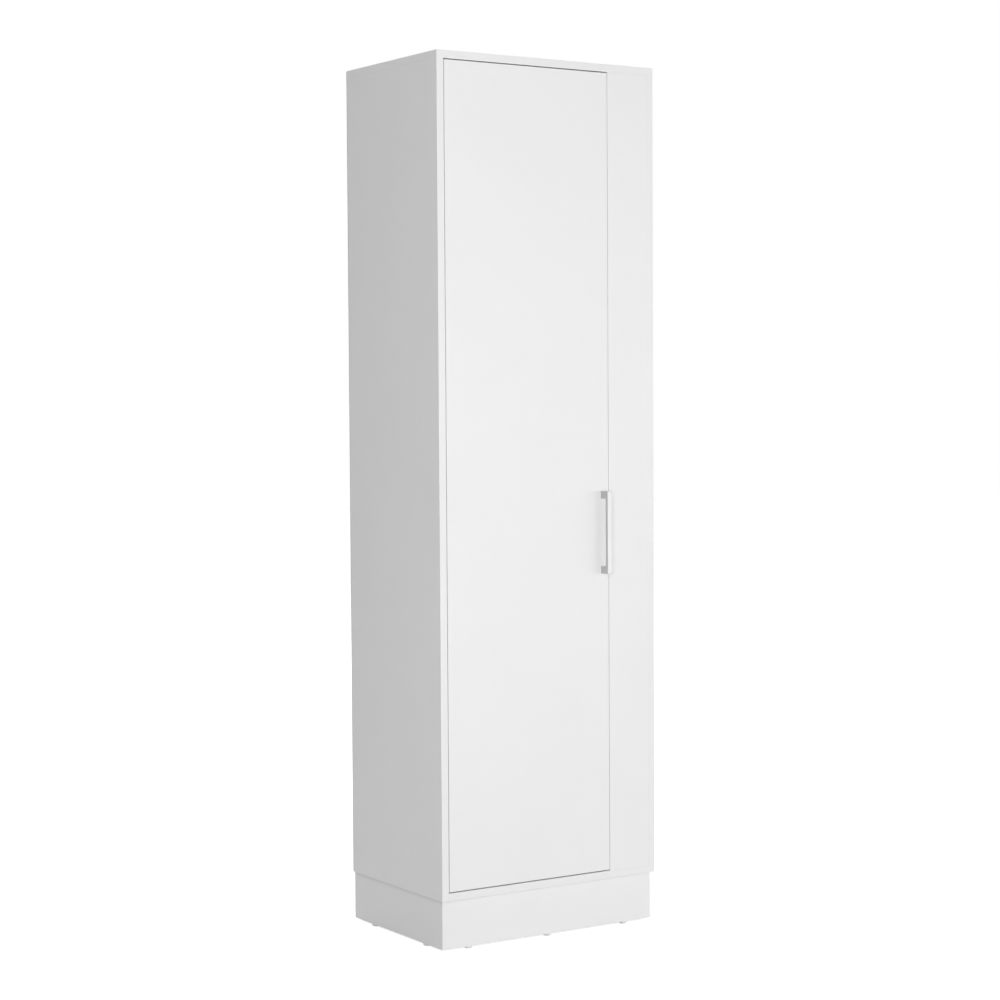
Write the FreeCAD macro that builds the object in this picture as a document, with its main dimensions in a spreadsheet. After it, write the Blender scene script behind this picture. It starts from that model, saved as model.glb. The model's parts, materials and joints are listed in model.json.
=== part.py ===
import FreeCAD, Part
import os
import re
import Sketcher

# A tall flat-pack broom cupboard: a melamine-faced carcass on a recessed plinth, one inset door on the left
# that turns on three single-pin cup hinges, and a fixed front panel to the right of the door.
# Row frame: X to the right, Y to the back, Z up, origin at the floor under the middle of the whole cupboard.

doc = FreeCAD.newDocument("BroomCupboard")
sheet = doc.addObject("Spreadsheet::Sheet", "Sizes")

# Driving dimensions in millimetres, one spreadsheet cell each.
driving = {
    # carcass
    "bodyWidth": 500,
    "bodyDepth": 345,
    "bodyHeight": 1601,
    "boardThickness": 15,
    "backThickness": 3,
    "backMargin": 1,
    "edgeRadius": 0.5,
    # front
    "doorThickness": 15,
    "doorGapHinge": 1.5,
    "doorGapHandle": 1,
    "doorGapTop": 2,
    "doorGapBottom": 2,
    "fixedPanelWidth": 95,
    "fixedDowelInset": 20,
    # plinth and glides
    "plinthHeight": 94,
    "plinthBoard": 15,
    "plinthInsetSide": 5,
    "plinthInsetFront": 9,
    "glideHeight": 5,
    "glideDiameter": 14,
    "glideRadius": 2.2,
    "glideNailDiameter": 2.2,
    "glideNailLength": 14,
    "glideFrontSpread": 182.5,
    "glideSideSpread": 98.5,
    # shelves and divider
    "shelfSetback": 40,
    "broomBayWidth": 250,
    "upperRoomHeight": 227,
    "sideShelfSetback": 12,
    "sideShelfPlay": 1,
    "pinInset": 40,
    "pinPitch": 32,
    "pinDiameter": 5,
    "pinLength": 9,
    "pinHeadDiameter": 8,
    "pinHeadLength": 9,
    "pinHoleDepth": 10,
    # broom rail and clips
    "railHeight": 60,
    "railDrop": 105,
    "railDowelInset": 15,
    "clipPitch": 46,
    "clipBore": 24,
    "clipWall": 2.2,
    "clipMouth": 16,
    "clipHeight": 20,
    "clipFoot": 3,
    "clipFootWidth": 14,
    "clipBead": 4.4,
    "clipSeat": 2,
    # fasteners between the boards
    "camDiameter": 15,
    "camDepth": 12.4,
    "camReach": 34,
    "camClearance": 0.1,
    "camSlotWidth": 2,
    "camSlotLength": 9,
    "camSlotDepth": 3,
    "camSetback": 50,
    "boltThreadDiameter": 5,
    "boltThreadLength": 9,
    "boltShankDiameter": 6.6,
    "boltShankLength": 25,
    "boltNeckDiameter": 3.6,
    "boltHeadDiameter": 6.2,
    "boltHeadLength": 2.6,
    "boltLength": 35,
    "boltHeadPlay": 0.2,
    "boltHoleDiameter": 7,
    "dowelDiameter": 8,
    "dowelLength": 30,
    "dowelHole": 10,
    "dowelClearance": 0.1,
    "dowelOffset": 32,
    # handle
    "handleLength": 162,
    "handleWidth": 9.5,
    "handleBarDepth": 7,
    "handleReach": 23.5,
    "handlePostHeight": 14.5,
    "handleEdgeDistance": 13.5,
    "handleLevel": 687.5,
    "handleRadius": 0.8,
    "handleScrewDiameter": 4,
    "handleScrewGrip": 8,
    "handleScrewHeadDiameter": 9,
    "handleScrewHeadHeight": 2.6,
    # hinges
    "hingeEndDistance": 110,
    "pivotInset": 22,
    "pivotDepth": 7,
    "pivotDiameter": 2.5,
    "pivotLength": 25,
    "pivotClearance": 0.05,
    "cupDiameter": 35,
    "cupDepth": 11.5,
    "cupEdgeDistance": 5,
    "cupClearance": 0.1,
    "cupFloor": 0.8,
    "cupRoomLength": 26,
    "cupRoomWidth": 19,
    "cupEndLength": 29.2,
    "cupEndWidth": 14,
    "flangeThickness": 1.2,
    "flangeDiameter": 37,
    "flangeLength": 62,
    "flangeWidth": 17,
    "flangeRadius": 4,
    "cupScrewSpread": 24,
    "cupScrewOffset": 8,
    "armWidth": 12,
    "armThickness": 2.4,
    "armLevel": 12,
    "armCheek": 1.4,
    "armBodyStart": 42,
    "armBodyLength": 54,
    "armBend": 3,
    "eyeDiameter": 4.7,
    "neckReach": 13,
    "neckLength": 30,
    "plateThickness": 2,
    "plateClearance": 0.3,
    "plateWingLength": 46,
    "plateWingWidth": 14,
    "plateWingStart": 60,
    "plateScrewSpread": 16,
    "adjusterDiameter": 5,
    "adjusterHeadDiameter": 7.6,
    "adjusterHeadHeight": 1.8,
    "adjusterLength": 9,
    "adjusterInset": 10,
    # small screws
    "screwDiameter": 3.4,
    "screwHeadDiameter": 6.6,
    "screwHeadHeight": 1.8,
    "screwLength": 12,
    "screwClearance": 0.3,
    # brackets
    "bracketLeg": 28,
    "bracketWidth": 18,
    "bracketThickness": 2,
    "bracketScrewPlace": 17,
    "wallBracketWidth": 40,
    "wallBracketSpread": 150,
    "wallHoleDiameter": 6,
    "wallHoleDrop": 16,
    "wallScrewSpread": 12,
    # door catches
    "catchWidth": 46,
    "catchDepth": 18,
    "catchHeight": 15,
    "catchRadius": 1.5,
    "catchMagnetWidth": 22,
    "catchMagnetHeight": 9,
    "catchMagnetDepth": 12,
    "catchMagnetProud": 0.6,
    "catchScrewSpread": 17,
    "catchScrewLength": 25,
    "catchEdgeDistance": 70,
    "catchPlay": 0.3,
    "strikeWidth": 36,
    "strikeHeight": 11,
    "strikeThickness": 1.2,
    "strikeScrewSpread": 13,
    # back panel nails
    "nailHeadDiameter": 4.4,
    "nailHeadHeight": 0.6,
    "nailDiameter": 1.4,
    "nailLength": 18,
    "nailPitch": 145,
}

# Sizes and places that follow from the driving dimensions.
derived = {
    "boardDepth": "bodyDepth - backThickness - nailHeadHeight",
    "bodyLeft": "-bodyWidth / 2",
    "bodyRight": "bodyWidth / 2",
    "bodyFront": "(handleReach - bodyDepth) / 2",
    "bodyBack": "bodyFront + bodyDepth",
    "boardBack": "bodyFront + boardDepth",
    "bodyBottom": "glideHeight + plinthHeight",
    "bodyTop": "bodyBottom + bodyHeight",
    "roomLeft": "bodyLeft + boardThickness",
    "roomRight": "bodyRight - boardThickness",
    "roomFloor": "bodyBottom + boardThickness",
    "roomCeiling": "bodyTop - boardThickness",
    "halfBoard": "boardThickness / 2",
    "fixedLeft": "roomRight - fixedPanelWidth",
    "fixedBack": "bodyFront + boardThickness",
    "fixedMiddleY": "bodyFront + halfBoard",
    "doorLeft": "roomLeft + doorGapHinge",
    "doorRight": "fixedLeft - doorGapHandle",
    "doorBottom": "roomFloor + doorGapBottom",
    "doorTop": "roomCeiling - doorGapTop",
    "doorBack": "bodyFront + doorThickness",
    "shelfFront": "bodyFront + shelfSetback",
    "upperShelfTop": "roomCeiling - upperRoomHeight",
    "upperShelfBottom": "upperShelfTop - boardThickness",
    "dividerLeft": "roomLeft + broomBayWidth",
    "dividerRight": "dividerLeft + boardThickness",
    "sideShelfFront": "shelfFront + sideShelfSetback",
    "pinFront": "sideShelfFront + pinInset",
    "pinRear": "boardBack - pinInset",
    "railTop": "upperShelfBottom - railDrop",
    "railBottom": "railTop - railHeight",
    "railFront": "boardBack - boardThickness",
    "railMiddleX": "(roomLeft + dividerLeft) / 2",
    "railMiddleZ": "(railBottom + railTop) / 2",
    "clipCentreY": "railFront - clipFoot - clipBore / 2",
    "clipFront": "clipCentreY - clipBore / 2 - clipWall",
    "beadX": "(clipMouth + clipBead) / 2",
    "beadY": "clipCentreY - sqrt(((clipBore + clipWall) / 2)^2 - beadX^2)",
    "camFront": "bodyFront + camSetback",
    "camRear": "boardBack - camSetback",
    "dowelFront": "camFront + dowelOffset",
    "dowelRear": "camRear - dowelOffset",
    "boltHeadStart": "boltLength - boltHeadLength",
    "shelfCamFront": "shelfFront + camSetback",
    "shelfDowelFront": "shelfCamFront + dowelOffset",
    "plinthLeft": "bodyLeft + plinthInsetSide",
    "plinthRight": "bodyRight - plinthInsetSide",
    "plinthFront": "bodyFront + plinthInsetFront",
    "plinthMiddle": "(plinthFront + bodyBack) / 2",
    "plinthRoomLeft": "plinthLeft + plinthBoard",
    "plinthRoomRight": "plinthRight - plinthBoard",
    "plinthRoomFront": "plinthFront + plinthBoard",
    "plinthRoomBack": "bodyBack - plinthBoard",
    "handleX": "doorRight - handleEdgeDistance",
    "handleFront": "bodyFront - handleReach",
    "handleBottom": "bodyBottom + handleLevel - handleLength / 2",
    "handleTop": "handleBottom + handleLength",
    "handleLowScrew": "handleBottom + handlePostHeight / 2",
    "handleHighScrew": "handleTop - handlePostHeight / 2",
    "pivotX": "doorLeft + pivotInset",
    "pivotY": "bodyFront + pivotDepth",
    "cupX": "doorLeft + cupEdgeDistance + cupDiameter / 2",
    "cupScrewX": "cupX + cupScrewOffset",
    "flangeFace": "doorBack + flangeThickness",
    "neckX": "pivotX + neckReach",
    "neckY": "pivotY + neckLength",
    "webX": "roomLeft + armLevel",
    "webFace": "webX + armThickness",
    "armStart": "bodyFront + armBodyStart",
    "armEnd": "armStart + armBodyLength",
    "wingStart": "bodyFront + plateWingStart",
    "wingMiddle": "wingStart + plateWingWidth / 2",
    "plateFace": "roomLeft + plateThickness",
    "spineHalf": "armWidth / 2 - armCheek - plateClearance",
    "catchX": "doorRight - catchEdgeDistance",
    "strikeFace": "doorBack + strikeThickness",
    "magnetFront": "strikeFace + catchPlay",
    "catchFront": "magnetFront + catchMagnetProud",
    "wallHoleZ": "roomCeiling - wallHoleDrop",
    "wallScrewY": "boardBack - bracketScrewPlace",
}

hinge_levels = {
    "lower": "doorBottom + hingeEndDistance",
    "middle": "(doorBottom + doorTop) / 2",
    "upper": "doorTop - hingeEndDistance",
}
catch_levels = {"lower": "roomFloor + catchHeight / 2", "upper": "roomCeiling - catchHeight / 2"}
side_shelf_levels = ["roomFloor + (upperShelfBottom - roomFloor) * %d / 4" % step for step in (1, 2, 3)]
clip_places = ["railMiddleX + %d * clipPitch" % step for step in (-2, -1, 0, 1, 2)]


def fill_sheet():
    for row, (alias, value) in enumerate(driving.items(), start=1):
        sheet.set("A%d" % row, alias)
        sheet.set("B%d" % row, str(value))
        sheet.setAlias("B%d" % row, alias)
    doc.recompute()


def expand(text):
    """The expression with each derived word opened up and each driving word read from the sheet."""
    def open_word(match):
        name = match.group(0)
        if name == "sqrt":
            return name
        if name in derived:
            return "(" + expand(derived[name]) + ")"
        return "Sizes." + name
    return re.sub(r"[A-Za-z]\w*", open_word, str(text))


def mm(text):
    """The value of an expression now."""
    return float(sheet.evalExpression(expand(text)))


def minus(text, start):
    return "(%s) - (%s)" % (text, start)


def plus(text, more):
    return "(%s) + (%s)" % (text, more)


# Sketch outlines: the function that draws them, their points and, for a circle, its diameter.

def circle(across, up, diameter):
    return draw_circle, [(across, up)], diameter


def outline(*points):
    return draw_outline, list(points), None


def rectangle(left, low, right, high):
    return outline((left, low), (right, low), (right, high), (left, high))


def spread(middle, half):
    """The two places at the distance half from middle."""
    return [minus(middle, half), plus(middle, half)]


def centred(across, up, half_across, half_up):
    """A rectangle round a centre."""
    left, right = spread(across, half_across)
    low, high = spread(up, half_up)
    return rectangle(left, low, right, high)


def hold(sketch, kind, line, point, text):
    """Holds a point of a sketch at its distance from the sketch's origin."""
    value = mm(text)
    if abs(value) < 1e-9:
        axis = {"DistanceX": -2, "DistanceY": -1}[kind]
        sketch.addConstraint(Sketcher.Constraint("PointOnObject", line, point, axis))
    else:
        number = sketch.addConstraint(Sketcher.Constraint(kind, -1, 1, line, point, value))
        sketch.setExpression("Constraints[%d]" % number, expand(text))


def draw_circle(sketch, points, diameter):
    across, up = points[0]
    centre = FreeCAD.Vector(mm(across), mm(up), 0)
    line = sketch.addGeometry(Part.Circle(centre, FreeCAD.Vector(0, 0, 1), mm(diameter) / 2))
    hold(sketch, "DistanceX", line, 3, across)
    hold(sketch, "DistanceY", line, 3, up)
    number = sketch.addConstraint(Sketcher.Constraint("Diameter", line, mm(diameter)))
    sketch.setExpression("Constraints[%d]" % number, expand(diameter))


def draw_outline(sketch, points, _):
    corners = [FreeCAD.Vector(mm(across), mm(up), 0) for across, up in points]
    lines = []
    for number, (across, up) in enumerate(points):
        line = sketch.addGeometry(Part.LineSegment(corners[number], corners[(number + 1) % len(points)]))
        hold(sketch, "DistanceX", line, 1, across)
        hold(sketch, "DistanceY", line, 1, up)
        lines.append(line)
    for number, line in enumerate(lines):
        sketch.addConstraint(Sketcher.Constraint("Coincident", line, 2, lines[(number + 1) % len(lines)], 1))


class Piece:
    """One sub-part: a PartDesign body placed at a corner, with pads and pockets given in the row frame."""

    planes = {"X": ("YZ_Plane", 1, 2), "Y": ("XZ_Plane", 0, 2), "Z": ("XY_Plane", 0, 1)}

    def __init__(self, label, corner):
        self.body = doc.addObject("PartDesign::Body", label)
        self.body.Label = label
        self.body.AllowCompound = True
        self.corner = corner
        for axis, place in zip("xyz", corner):
            self.body.setExpression("Placement.Base." + axis, expand(place))
        pieces.append(self.body)

    def sketch(self, axis, start, outlines):
        """A sketch square to the axis, at the place start along it."""
        role, across, up = self.planes[axis]
        sketch = self.body.newObject("Sketcher::SketchObject", self.body.Name + "_sketch")
        plane = [item for item in self.body.Origin.OriginFeatures if item.Role == role][0]
        sketch.AttachmentSupport = [(plane, "")]
        sketch.MapMode = "FlatFace"
        level = minus(start, self.corner["XYZ".index(axis)])
        normal = "-1" if axis == "Y" else "1"
        sketch.setExpression("AttachmentOffset.Base.z", expand("%s * (%s)" % (normal, level)))
        for draw, points, diameter in outlines:
            local = [(minus(a, self.corner[across]), minus(b, self.corner[up])) for a, b in points]
            draw(sketch, local, diameter)
        return sketch

    def add(self, axis, start, length, *outlines):
        """A pad that runs from start up the axis."""
        sketch = self.sketch(axis, start, outlines)
        pad = self.body.newObject("PartDesign::Pad", self.body.Name + "_pad")
        pad.Profile = sketch
        pad.Reversed = axis == "Y"
        pad.setExpression("Length", expand(length))
        doc.recompute()
        return self

    def cut(self, axis, start, length, *outlines):
        """A pocket that runs from start up the axis."""
        before = self.body.Shape.Volume
        sketch = self.sketch(axis, start, outlines)
        pocket = self.body.newObject("PartDesign::Pocket", self.body.Name + "_pocket")
        pocket.Profile = sketch
        pocket.Reversed = axis != "Y"
        pocket.setExpression("Length", expand(length))
        doc.recompute()
        if self.body.Shape.Volume > before - 0.01:
            raise RuntimeError(self.body.Label + ": a pocket cuts nothing")
        return self

    def round_edges(self, radius, chosen):
        """A fillet on each edge for which chosen, given its box in the row frame, is true."""
        corner = FreeCAD.Vector(*[mm(place) for place in self.corner])
        base = self.body.Tip
        names = []
        for number, edge in enumerate(base.Shape.Edges, start=1):
            span = edge.BoundBox
            low = FreeCAD.Vector(span.XMin, span.YMin, span.ZMin) + corner
            high = FreeCAD.Vector(span.XMax, span.YMax, span.ZMax) + corner
            if chosen(low, high):
                names.append("Edge%d" % number)
        if not names:
            raise RuntimeError(self.body.Label + ": no edge to round")
        fillet = self.body.newObject("PartDesign::Fillet", self.body.Name + "_fillet")
        fillet.Base = (base, names)
        fillet.setExpression("Radius", expand(radius))
        doc.recompute()
        return self

    def drive(self, axis, outward, face, points, length="screwLength", head_height="screwHeadHeight",
              diameter="screwDiameter", head_diameter="screwHeadDiameter"):
        """Screws or nails: heads stand on face, outward (1 or -1) along the axis, and shanks go in."""
        heads = [circle(a, b, head_diameter) for a, b in points]
        shanks = [circle(a, b, diameter) for a, b in points]
        shank_start = minus(face, length) if outward > 0 else face
        head_start = face if outward > 0 else minus(face, head_height)
        self.add(axis, shank_start, length, *shanks)
        return self.add(axis, head_start, head_height, *heads)


pieces = []


def on(value, text):
    return abs(value - mm(text)) < 0.01


def board(label, axis, low, high):
    """A rectangular board whose thickness runs along the axis, from the corner low to the corner high."""
    depth = "XYZ".index(axis)
    across, up = [side for side in range(3) if side != depth]
    face = rectangle(low[across], low[up], high[across], high[up])
    return Piece(label, low).add(axis, low[depth], minus(high[depth], low[depth]), face)


def cross(firsts, seconds):
    """Every pair of a place in firsts and a place in seconds."""
    return [(first, second) for first in firsts for second in seconds]


def holes(points, diameter, clearance="0"):
    return [circle(a, b, plus(diameter, clearance)) for a, b in points]


# Both rows of hardware along the depth of a joint, and the two levels where boards end on the side panels.
cam_rows = ["camFront", "camRear"]
dowel_rows = ["dowelFront", "dowelRear"]
shelf_cam_rows = ["shelfCamFront", "camRear"]
shelf_dowel_rows = ["shelfDowelFront", "dowelRear"]
side_middles = ["bodyLeft + halfBoard", "bodyRight - halfBoard"]
floor_middle = "bodyBottom + halfBoard"
shelf_middle = "upperShelfBottom + halfBoard"
rail_dowels = cross(["railFront + halfBoard"], ["railBottom + railDowelInset", "railTop - railDowelInset"])
divider_dowels = cross(["dividerLeft + halfBoard"], shelf_dowel_rows)
fixed_dowels = cross(["fixedLeft + fixedDowelInset", "roomRight - fixedDowelInset"], ["fixedMiddleY"])
pin_levels = [minus(level, "pinHeadDiameter / 2") for level in side_shelf_levels]
pin_rows = cross(["pinFront", "pinRear"], pin_levels)
edge_depth = "dowelLength - dowelHole"


def end_holes():
    """Where the bottom panel and the upper shelf meet a side panel: bolt threads and dowels as (y, z)."""
    bolts = cross(cam_rows, [floor_middle]) + cross(shelf_cam_rows, [shelf_middle])
    dowels = cross(dowel_rows, [floor_middle]) + cross(shelf_dowel_rows, [shelf_middle])
    return bolts, dowels


def pin_hole_places():
    """Three holes, one pitch apart, at each shelf pin, as (y, z)."""
    return [(y, plus(z, "%d * pinPitch" % step)) for y, z in pin_rows for step in (-1, 0, 1)]


def side_panel(label, outer, inner, direction):
    """A side panel and what bores its room face. direction is 1 where that face looks along +X."""
    low, high = (outer, inner) if direction > 0 else (inner, outer)
    panel = board(label, "X", (low, "bodyFront", "bodyBottom"), (high, "boardBack", "roomCeiling"))
    panel.round_edges("edgeRadius", lambda a, b: on(b.y, "bodyFront") and b.x - a.x < 0.01)
    panel.round_edges("edgeRadius", lambda a, b: on(b.z, "bodyBottom") and on(a.x, outer) and on(b.x, outer))
    bolts, dowels = end_holes()

    def bore(depth, *outlines):
        panel.cut("X", minus(inner, depth) if direction > 0 else inner, depth, *outlines)

    cam_places = cross(cam_rows, ["roomCeiling - camReach"])
    bore("camDepth", *holes(cam_places, "camDiameter", "camClearance"))
    bore("boltThreadLength", *holes(bolts, "boltThreadDiameter"))
    bore("dowelHole", *holes(dowels, "dowelDiameter", "dowelClearance"))
    middle = [minus(inner, "%d * halfBoard" % direction)]
    panel.cut("Z", "roomCeiling - camReach", "camReach", *holes(cross(middle, cam_rows), "boltHoleDiameter"))
    panel.cut("Z", minus("roomCeiling", edge_depth), edge_depth,
              *holes(cross(middle, dowel_rows), "dowelDiameter", "dowelClearance"))
    return panel, bore


def left_side_panel():
    panel, bore = side_panel("left_side_panel", "bodyLeft", "roomLeft", 1)
    bore("dowelHole", *holes(rail_dowels, "dowelDiameter", "dowelClearance"))


def right_side_panel():
    panel, bore = side_panel("right_side_panel", "bodyRight", "roomRight", -1)
    bore("pinHoleDepth", *holes(pin_hole_places(), "pinDiameter"))


def top_panel():
    panel = board("top_panel", "Z", ("bodyLeft", "bodyFront", "roomCeiling"),
                  ("bodyRight", "boardBack", "bodyTop"))
    panel.round_edges("edgeRadius", lambda a, b: b.z - a.z < 0.01 and not on(a.y, "boardBack"))
    bolts = cross(side_middles, cam_rows)
    dowels = cross(side_middles, dowel_rows) + fixed_dowels
    panel.cut("Z", "roomCeiling", "boltThreadLength", *holes(bolts, "boltThreadDiameter"))
    panel.cut("Z", "roomCeiling", "dowelHole", *holes(dowels, "dowelDiameter", "dowelClearance"))


def cross_board(label, front, bottom, top, bolt_rows, peg_rows):
    """A board between the side panels, held by cams in its underside and dowels in its ends."""
    panel = board(label, "Z", ("roomLeft", front, bottom), ("roomRight", "boardBack", top))
    panel.round_edges("edgeRadius", lambda a, b: on(b.y, front) and b.z - a.z < 0.01)
    middle = plus(bottom, "halfBoard")
    ends = ["roomLeft + camReach", "roomRight - camReach"]
    panel.cut("Z", bottom, "camDepth", *holes(cross(ends, bolt_rows), "camDiameter", "camClearance"))
    for length, rows, diameter, clearance in (("camReach", bolt_rows, "boltHoleDiameter", "0"),
                                              (edge_depth, peg_rows, "dowelDiameter", "dowelClearance")):
        for start in ("roomLeft", minus("roomRight", length)):
            panel.cut("X", start, length, *holes(cross(rows, [middle]), diameter, clearance))
    return panel


def bottom_panel():
    panel = cross_board("bottom_panel", "bodyFront", "bodyBottom", "roomFloor", cam_rows, dowel_rows)
    panel.cut("Z", "roomFloor - dowelHole", "dowelHole",
              *holes(divider_dowels + fixed_dowels, "dowelDiameter", "dowelClearance"))


def upper_shelf():
    panel = cross_board("upper_shelf", "shelfFront", "upperShelfBottom", "upperShelfTop",
                        shelf_cam_rows, shelf_dowel_rows)
    panel.cut("Z", "upperShelfBottom", "dowelHole", *holes(divider_dowels, "dowelDiameter", "dowelClearance"))


def edge_dowel_holes(panel, bottom, top, points):
    """Dowel holes in the bottom and top edges of an upright board."""
    outlines = holes(points, "dowelDiameter", "dowelClearance")
    panel.cut("Z", bottom, edge_depth, *outlines)
    panel.cut("Z", minus(top, edge_depth), edge_depth, *outlines)


def fixed_front_panel():
    panel = board("fixed_front_panel", "Y", ("fixedLeft", "bodyFront", "roomFloor"),
                  ("roomRight", "fixedBack", "roomCeiling"))
    panel.round_edges("edgeRadius", lambda a, b: on(b.x, "fixedLeft") and b.y - a.y < 0.01)
    edge_dowel_holes(panel, "roomFloor", "roomCeiling", fixed_dowels)


def divider_panel():
    panel = board("divider_panel", "X", ("dividerLeft", "shelfFront", "roomFloor"),
                  ("dividerRight", "boardBack", "upperShelfBottom"))
    panel.round_edges("edgeRadius", lambda a, b: on(b.y, "shelfFront") and b.x - a.x < 0.01)
    edge_dowel_holes(panel, "roomFloor", "upperShelfBottom", divider_dowels)
    panel.cut("X", "dividerLeft", "dowelHole", *holes(rail_dowels, "dowelDiameter", "dowelClearance"))
    panel.cut("X", "dividerRight - pinHoleDepth", "pinHoleDepth", *holes(pin_hole_places(), "pinDiameter"))


def side_shelves():
    for number, level in enumerate(side_shelf_levels, start=1):
        low = ("dividerRight + sideShelfPlay", "sideShelfFront", level)
        high = ("roomRight - sideShelfPlay", "boardBack", plus(level, "boardThickness"))
        shelf = board("side_shelf_%d" % number, "Z", low, high)
        shelf.round_edges("edgeRadius", lambda a, b: on(b.y, "sideShelfFront") and b.z - a.z < 0.01)


def shelf_pins():
    """Four pins under each side shelf."""
    pins = Piece("shelf_pins", ("dividerLeft", "bodyFront", "bodyBottom"))
    stems = holes(pin_rows, "pinDiameter")
    heads = holes(pin_rows, "pinHeadDiameter")
    pins.add("X", "dividerRight - pinLength", "pinLength", *stems)
    pins.add("X", "dividerRight", "pinHeadLength", *heads)
    pins.add("X", "roomRight", "pinLength", *stems)
    pins.add("X", "roomRight - pinHeadLength", "pinHeadLength", *heads)
    tips = [mm("dividerRight + pinHeadLength"), mm("roomRight - pinHeadLength")]
    pins.round_edges("edgeRadius", lambda a, b: any(abs(a.x - tip) + abs(b.x - tip) < 0.01 for tip in tips))


def broom_rail():
    rail = board("broom_rail", "Y", ("roomLeft", "railFront", "railBottom"),
                 ("dividerLeft", "boardBack", "railTop"))
    rail.round_edges("edgeRadius", lambda a, b: on(b.y, "railFront") and b.z - a.z < 0.01)
    for start in ("roomLeft", minus("dividerLeft", edge_depth)):
        rail.cut("X", start, edge_depth, *holes(rail_dowels, "dowelDiameter", "dowelClearance"))


def broom_clips():
    """Open spring rings, each on a foot against the rail, with a rounded bead at both sides of its mouth."""
    bottom = "railMiddleZ - clipHeight / 2"
    for number, middle in enumerate(clip_places, start=1):
        clip = Piece("broom_clip_%d" % number, (minus(middle, "clipBore"), "clipCentreY - clipBore", bottom))
        mouth_left, mouth_right = spread(middle, "clipMouth / 2")
        foot_left, foot_right = spread(middle, "clipFootWidth / 2")
        clip.add("Z", bottom, "clipHeight", circle(middle, "clipCentreY", "clipBore + 2 * clipWall"))
        clip.add("Z", bottom, "clipHeight", rectangle(foot_left, "clipCentreY", foot_right, "railFront"))
        clip.cut("Z", bottom, "clipHeight", circle(middle, "clipCentreY", "clipBore"))
        clip.cut("Z", bottom, "clipHeight", rectangle(mouth_left, "clipFront", mouth_right, "clipCentreY"))
        clip.add("Z", bottom, "clipHeight", *holes(cross(spread(middle, "beadX"), ["beadY"]), "clipBead"))
        screw = [(middle, "railMiddleZ")]
        clip.cut("Y", "railFront - clipFoot", "clipFoot", *holes(screw, "screwDiameter", "screwClearance"))
        clip.cut("Y", "clipCentreY", "railFront - clipSeat - clipCentreY",
                 *holes(screw, "screwHeadDiameter", "screwClearance"))


def clip_screws():
    screws = Piece("clip_screws", ("roomLeft", "bodyFront", "bodyBottom"))
    screws.drive("Y", -1, "railFront - clipSeat", cross(clip_places, ["railMiddleZ"]))


def back_panel():
    panel = board("back_panel", "Y", ("bodyLeft + backMargin", "boardBack", "bodyBottom + backMargin"),
                  ("bodyRight - backMargin", "boardBack + backThickness", "bodyTop - backMargin"))
    panel.cut("Y", "boardBack", "backThickness", *holes(wall_hole_places(), "wallHoleDiameter"))


def plinth_boards():
    """A front and a back board as wide as the plinth, and two side boards between them."""
    for label, axis, left, front, right, back in (
            ("plinth_front", "Y", "plinthLeft", "plinthFront", "plinthRight", "plinthRoomFront"),
            ("plinth_back", "Y", "plinthLeft", "plinthRoomBack", "plinthRight", "bodyBack"),
            ("plinth_left", "X", "plinthLeft", "plinthRoomFront", "plinthRoomLeft", "plinthRoomBack"),
            ("plinth_right", "X", "plinthRoomRight", "plinthRoomFront", "plinthRight", "plinthRoomBack")):
        plank = board(label, axis, (left, front, "glideHeight"), (right, back, "bodyBottom"))
        if label == "plinth_front":
            plank.round_edges("edgeRadius", lambda a, b: on(b.y, "plinthFront") and b.x - a.x < 0.01)


def glide_places():
    """Nail-on glides under the middle of each plinth board, as (x, y)."""
    rows = ["plinthFront + plinthBoard / 2", "bodyBack - plinthBoard / 2"]
    columns = ["plinthLeft + plinthBoard / 2", "plinthRight - plinthBoard / 2"]
    along_front = cross(["-glideFrontSpread", "0", "glideFrontSpread"], rows)
    return along_front + cross(columns, ["plinthMiddle - glideSideSpread", "plinthMiddle + glideSideSpread"])


def floor_glides():
    glides = Piece("floor_glides", ("bodyLeft", "bodyFront", "0"))
    places = glide_places()
    glides.add("Z", "0", "glideHeight", *holes(places, "glideDiameter"))
    glides.round_edges("glideRadius", lambda a, b: b.z < 0.01)
    glides.add("Z", "glideHeight", "glideNailLength", *holes(places, "glideNailDiameter"))


def cam_bolts():
    """Threaded end, thick shank, thin neck and head, one after the other along each bolt."""
    bolts = Piece("cam_bolts", ("bodyLeft", "bodyFront", "bodyBottom"))
    ends, _ = end_holes()
    joints = [("Z", "roomCeiling", -1, cross(side_middles, cam_rows)), ("X", "roomLeft", 1, ends),
              ("X", "roomRight", -1, ends)]
    steps = [("0 - boltThreadLength", "0", "boltThreadDiameter"),
             ("0", "boltShankLength", "boltShankDiameter"),
             ("boltShankLength", "boltHeadStart", "boltNeckDiameter"),
             ("boltHeadStart", "boltLength", "boltHeadDiameter")]
    for axis, face, direction, places in joints:
        for near, far, diameter in steps:
            start = plus(face, near) if direction > 0 else minus(face, far)
            bolts.add(axis, start, minus(far, near), *holes(places, diameter))


def cam_room(cams, axis, face, direction, places):
    """The room in a cam for a bolt that starts at face: a channel for its neck and a pocket for its head."""
    for near, far, diameter in (("0", "boltHeadStart", "boltNeckDiameter"),
                                ("boltHeadStart", "boltLength + boltHeadPlay", "boltHeadDiameter")):
        start = plus(face, near) if direction > 0 else minus(face, far)
        cams.cut(axis, start, minus(far, near), *holes(places, diameter, "2 * boltHeadPlay"))


def cam_slots(cams, axis, start, places):
    """A cross-shaped key slot in each cam."""
    long_half, thin_half = "camSlotLength / 2", "camSlotWidth / 2"
    for across, up in ((long_half, thin_half), (thin_half, long_half)):
        slots = [centred(a, b, across, up) for a, b in places]
        cams.cut(axis, start, "camSlotDepth", *slots)


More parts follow.
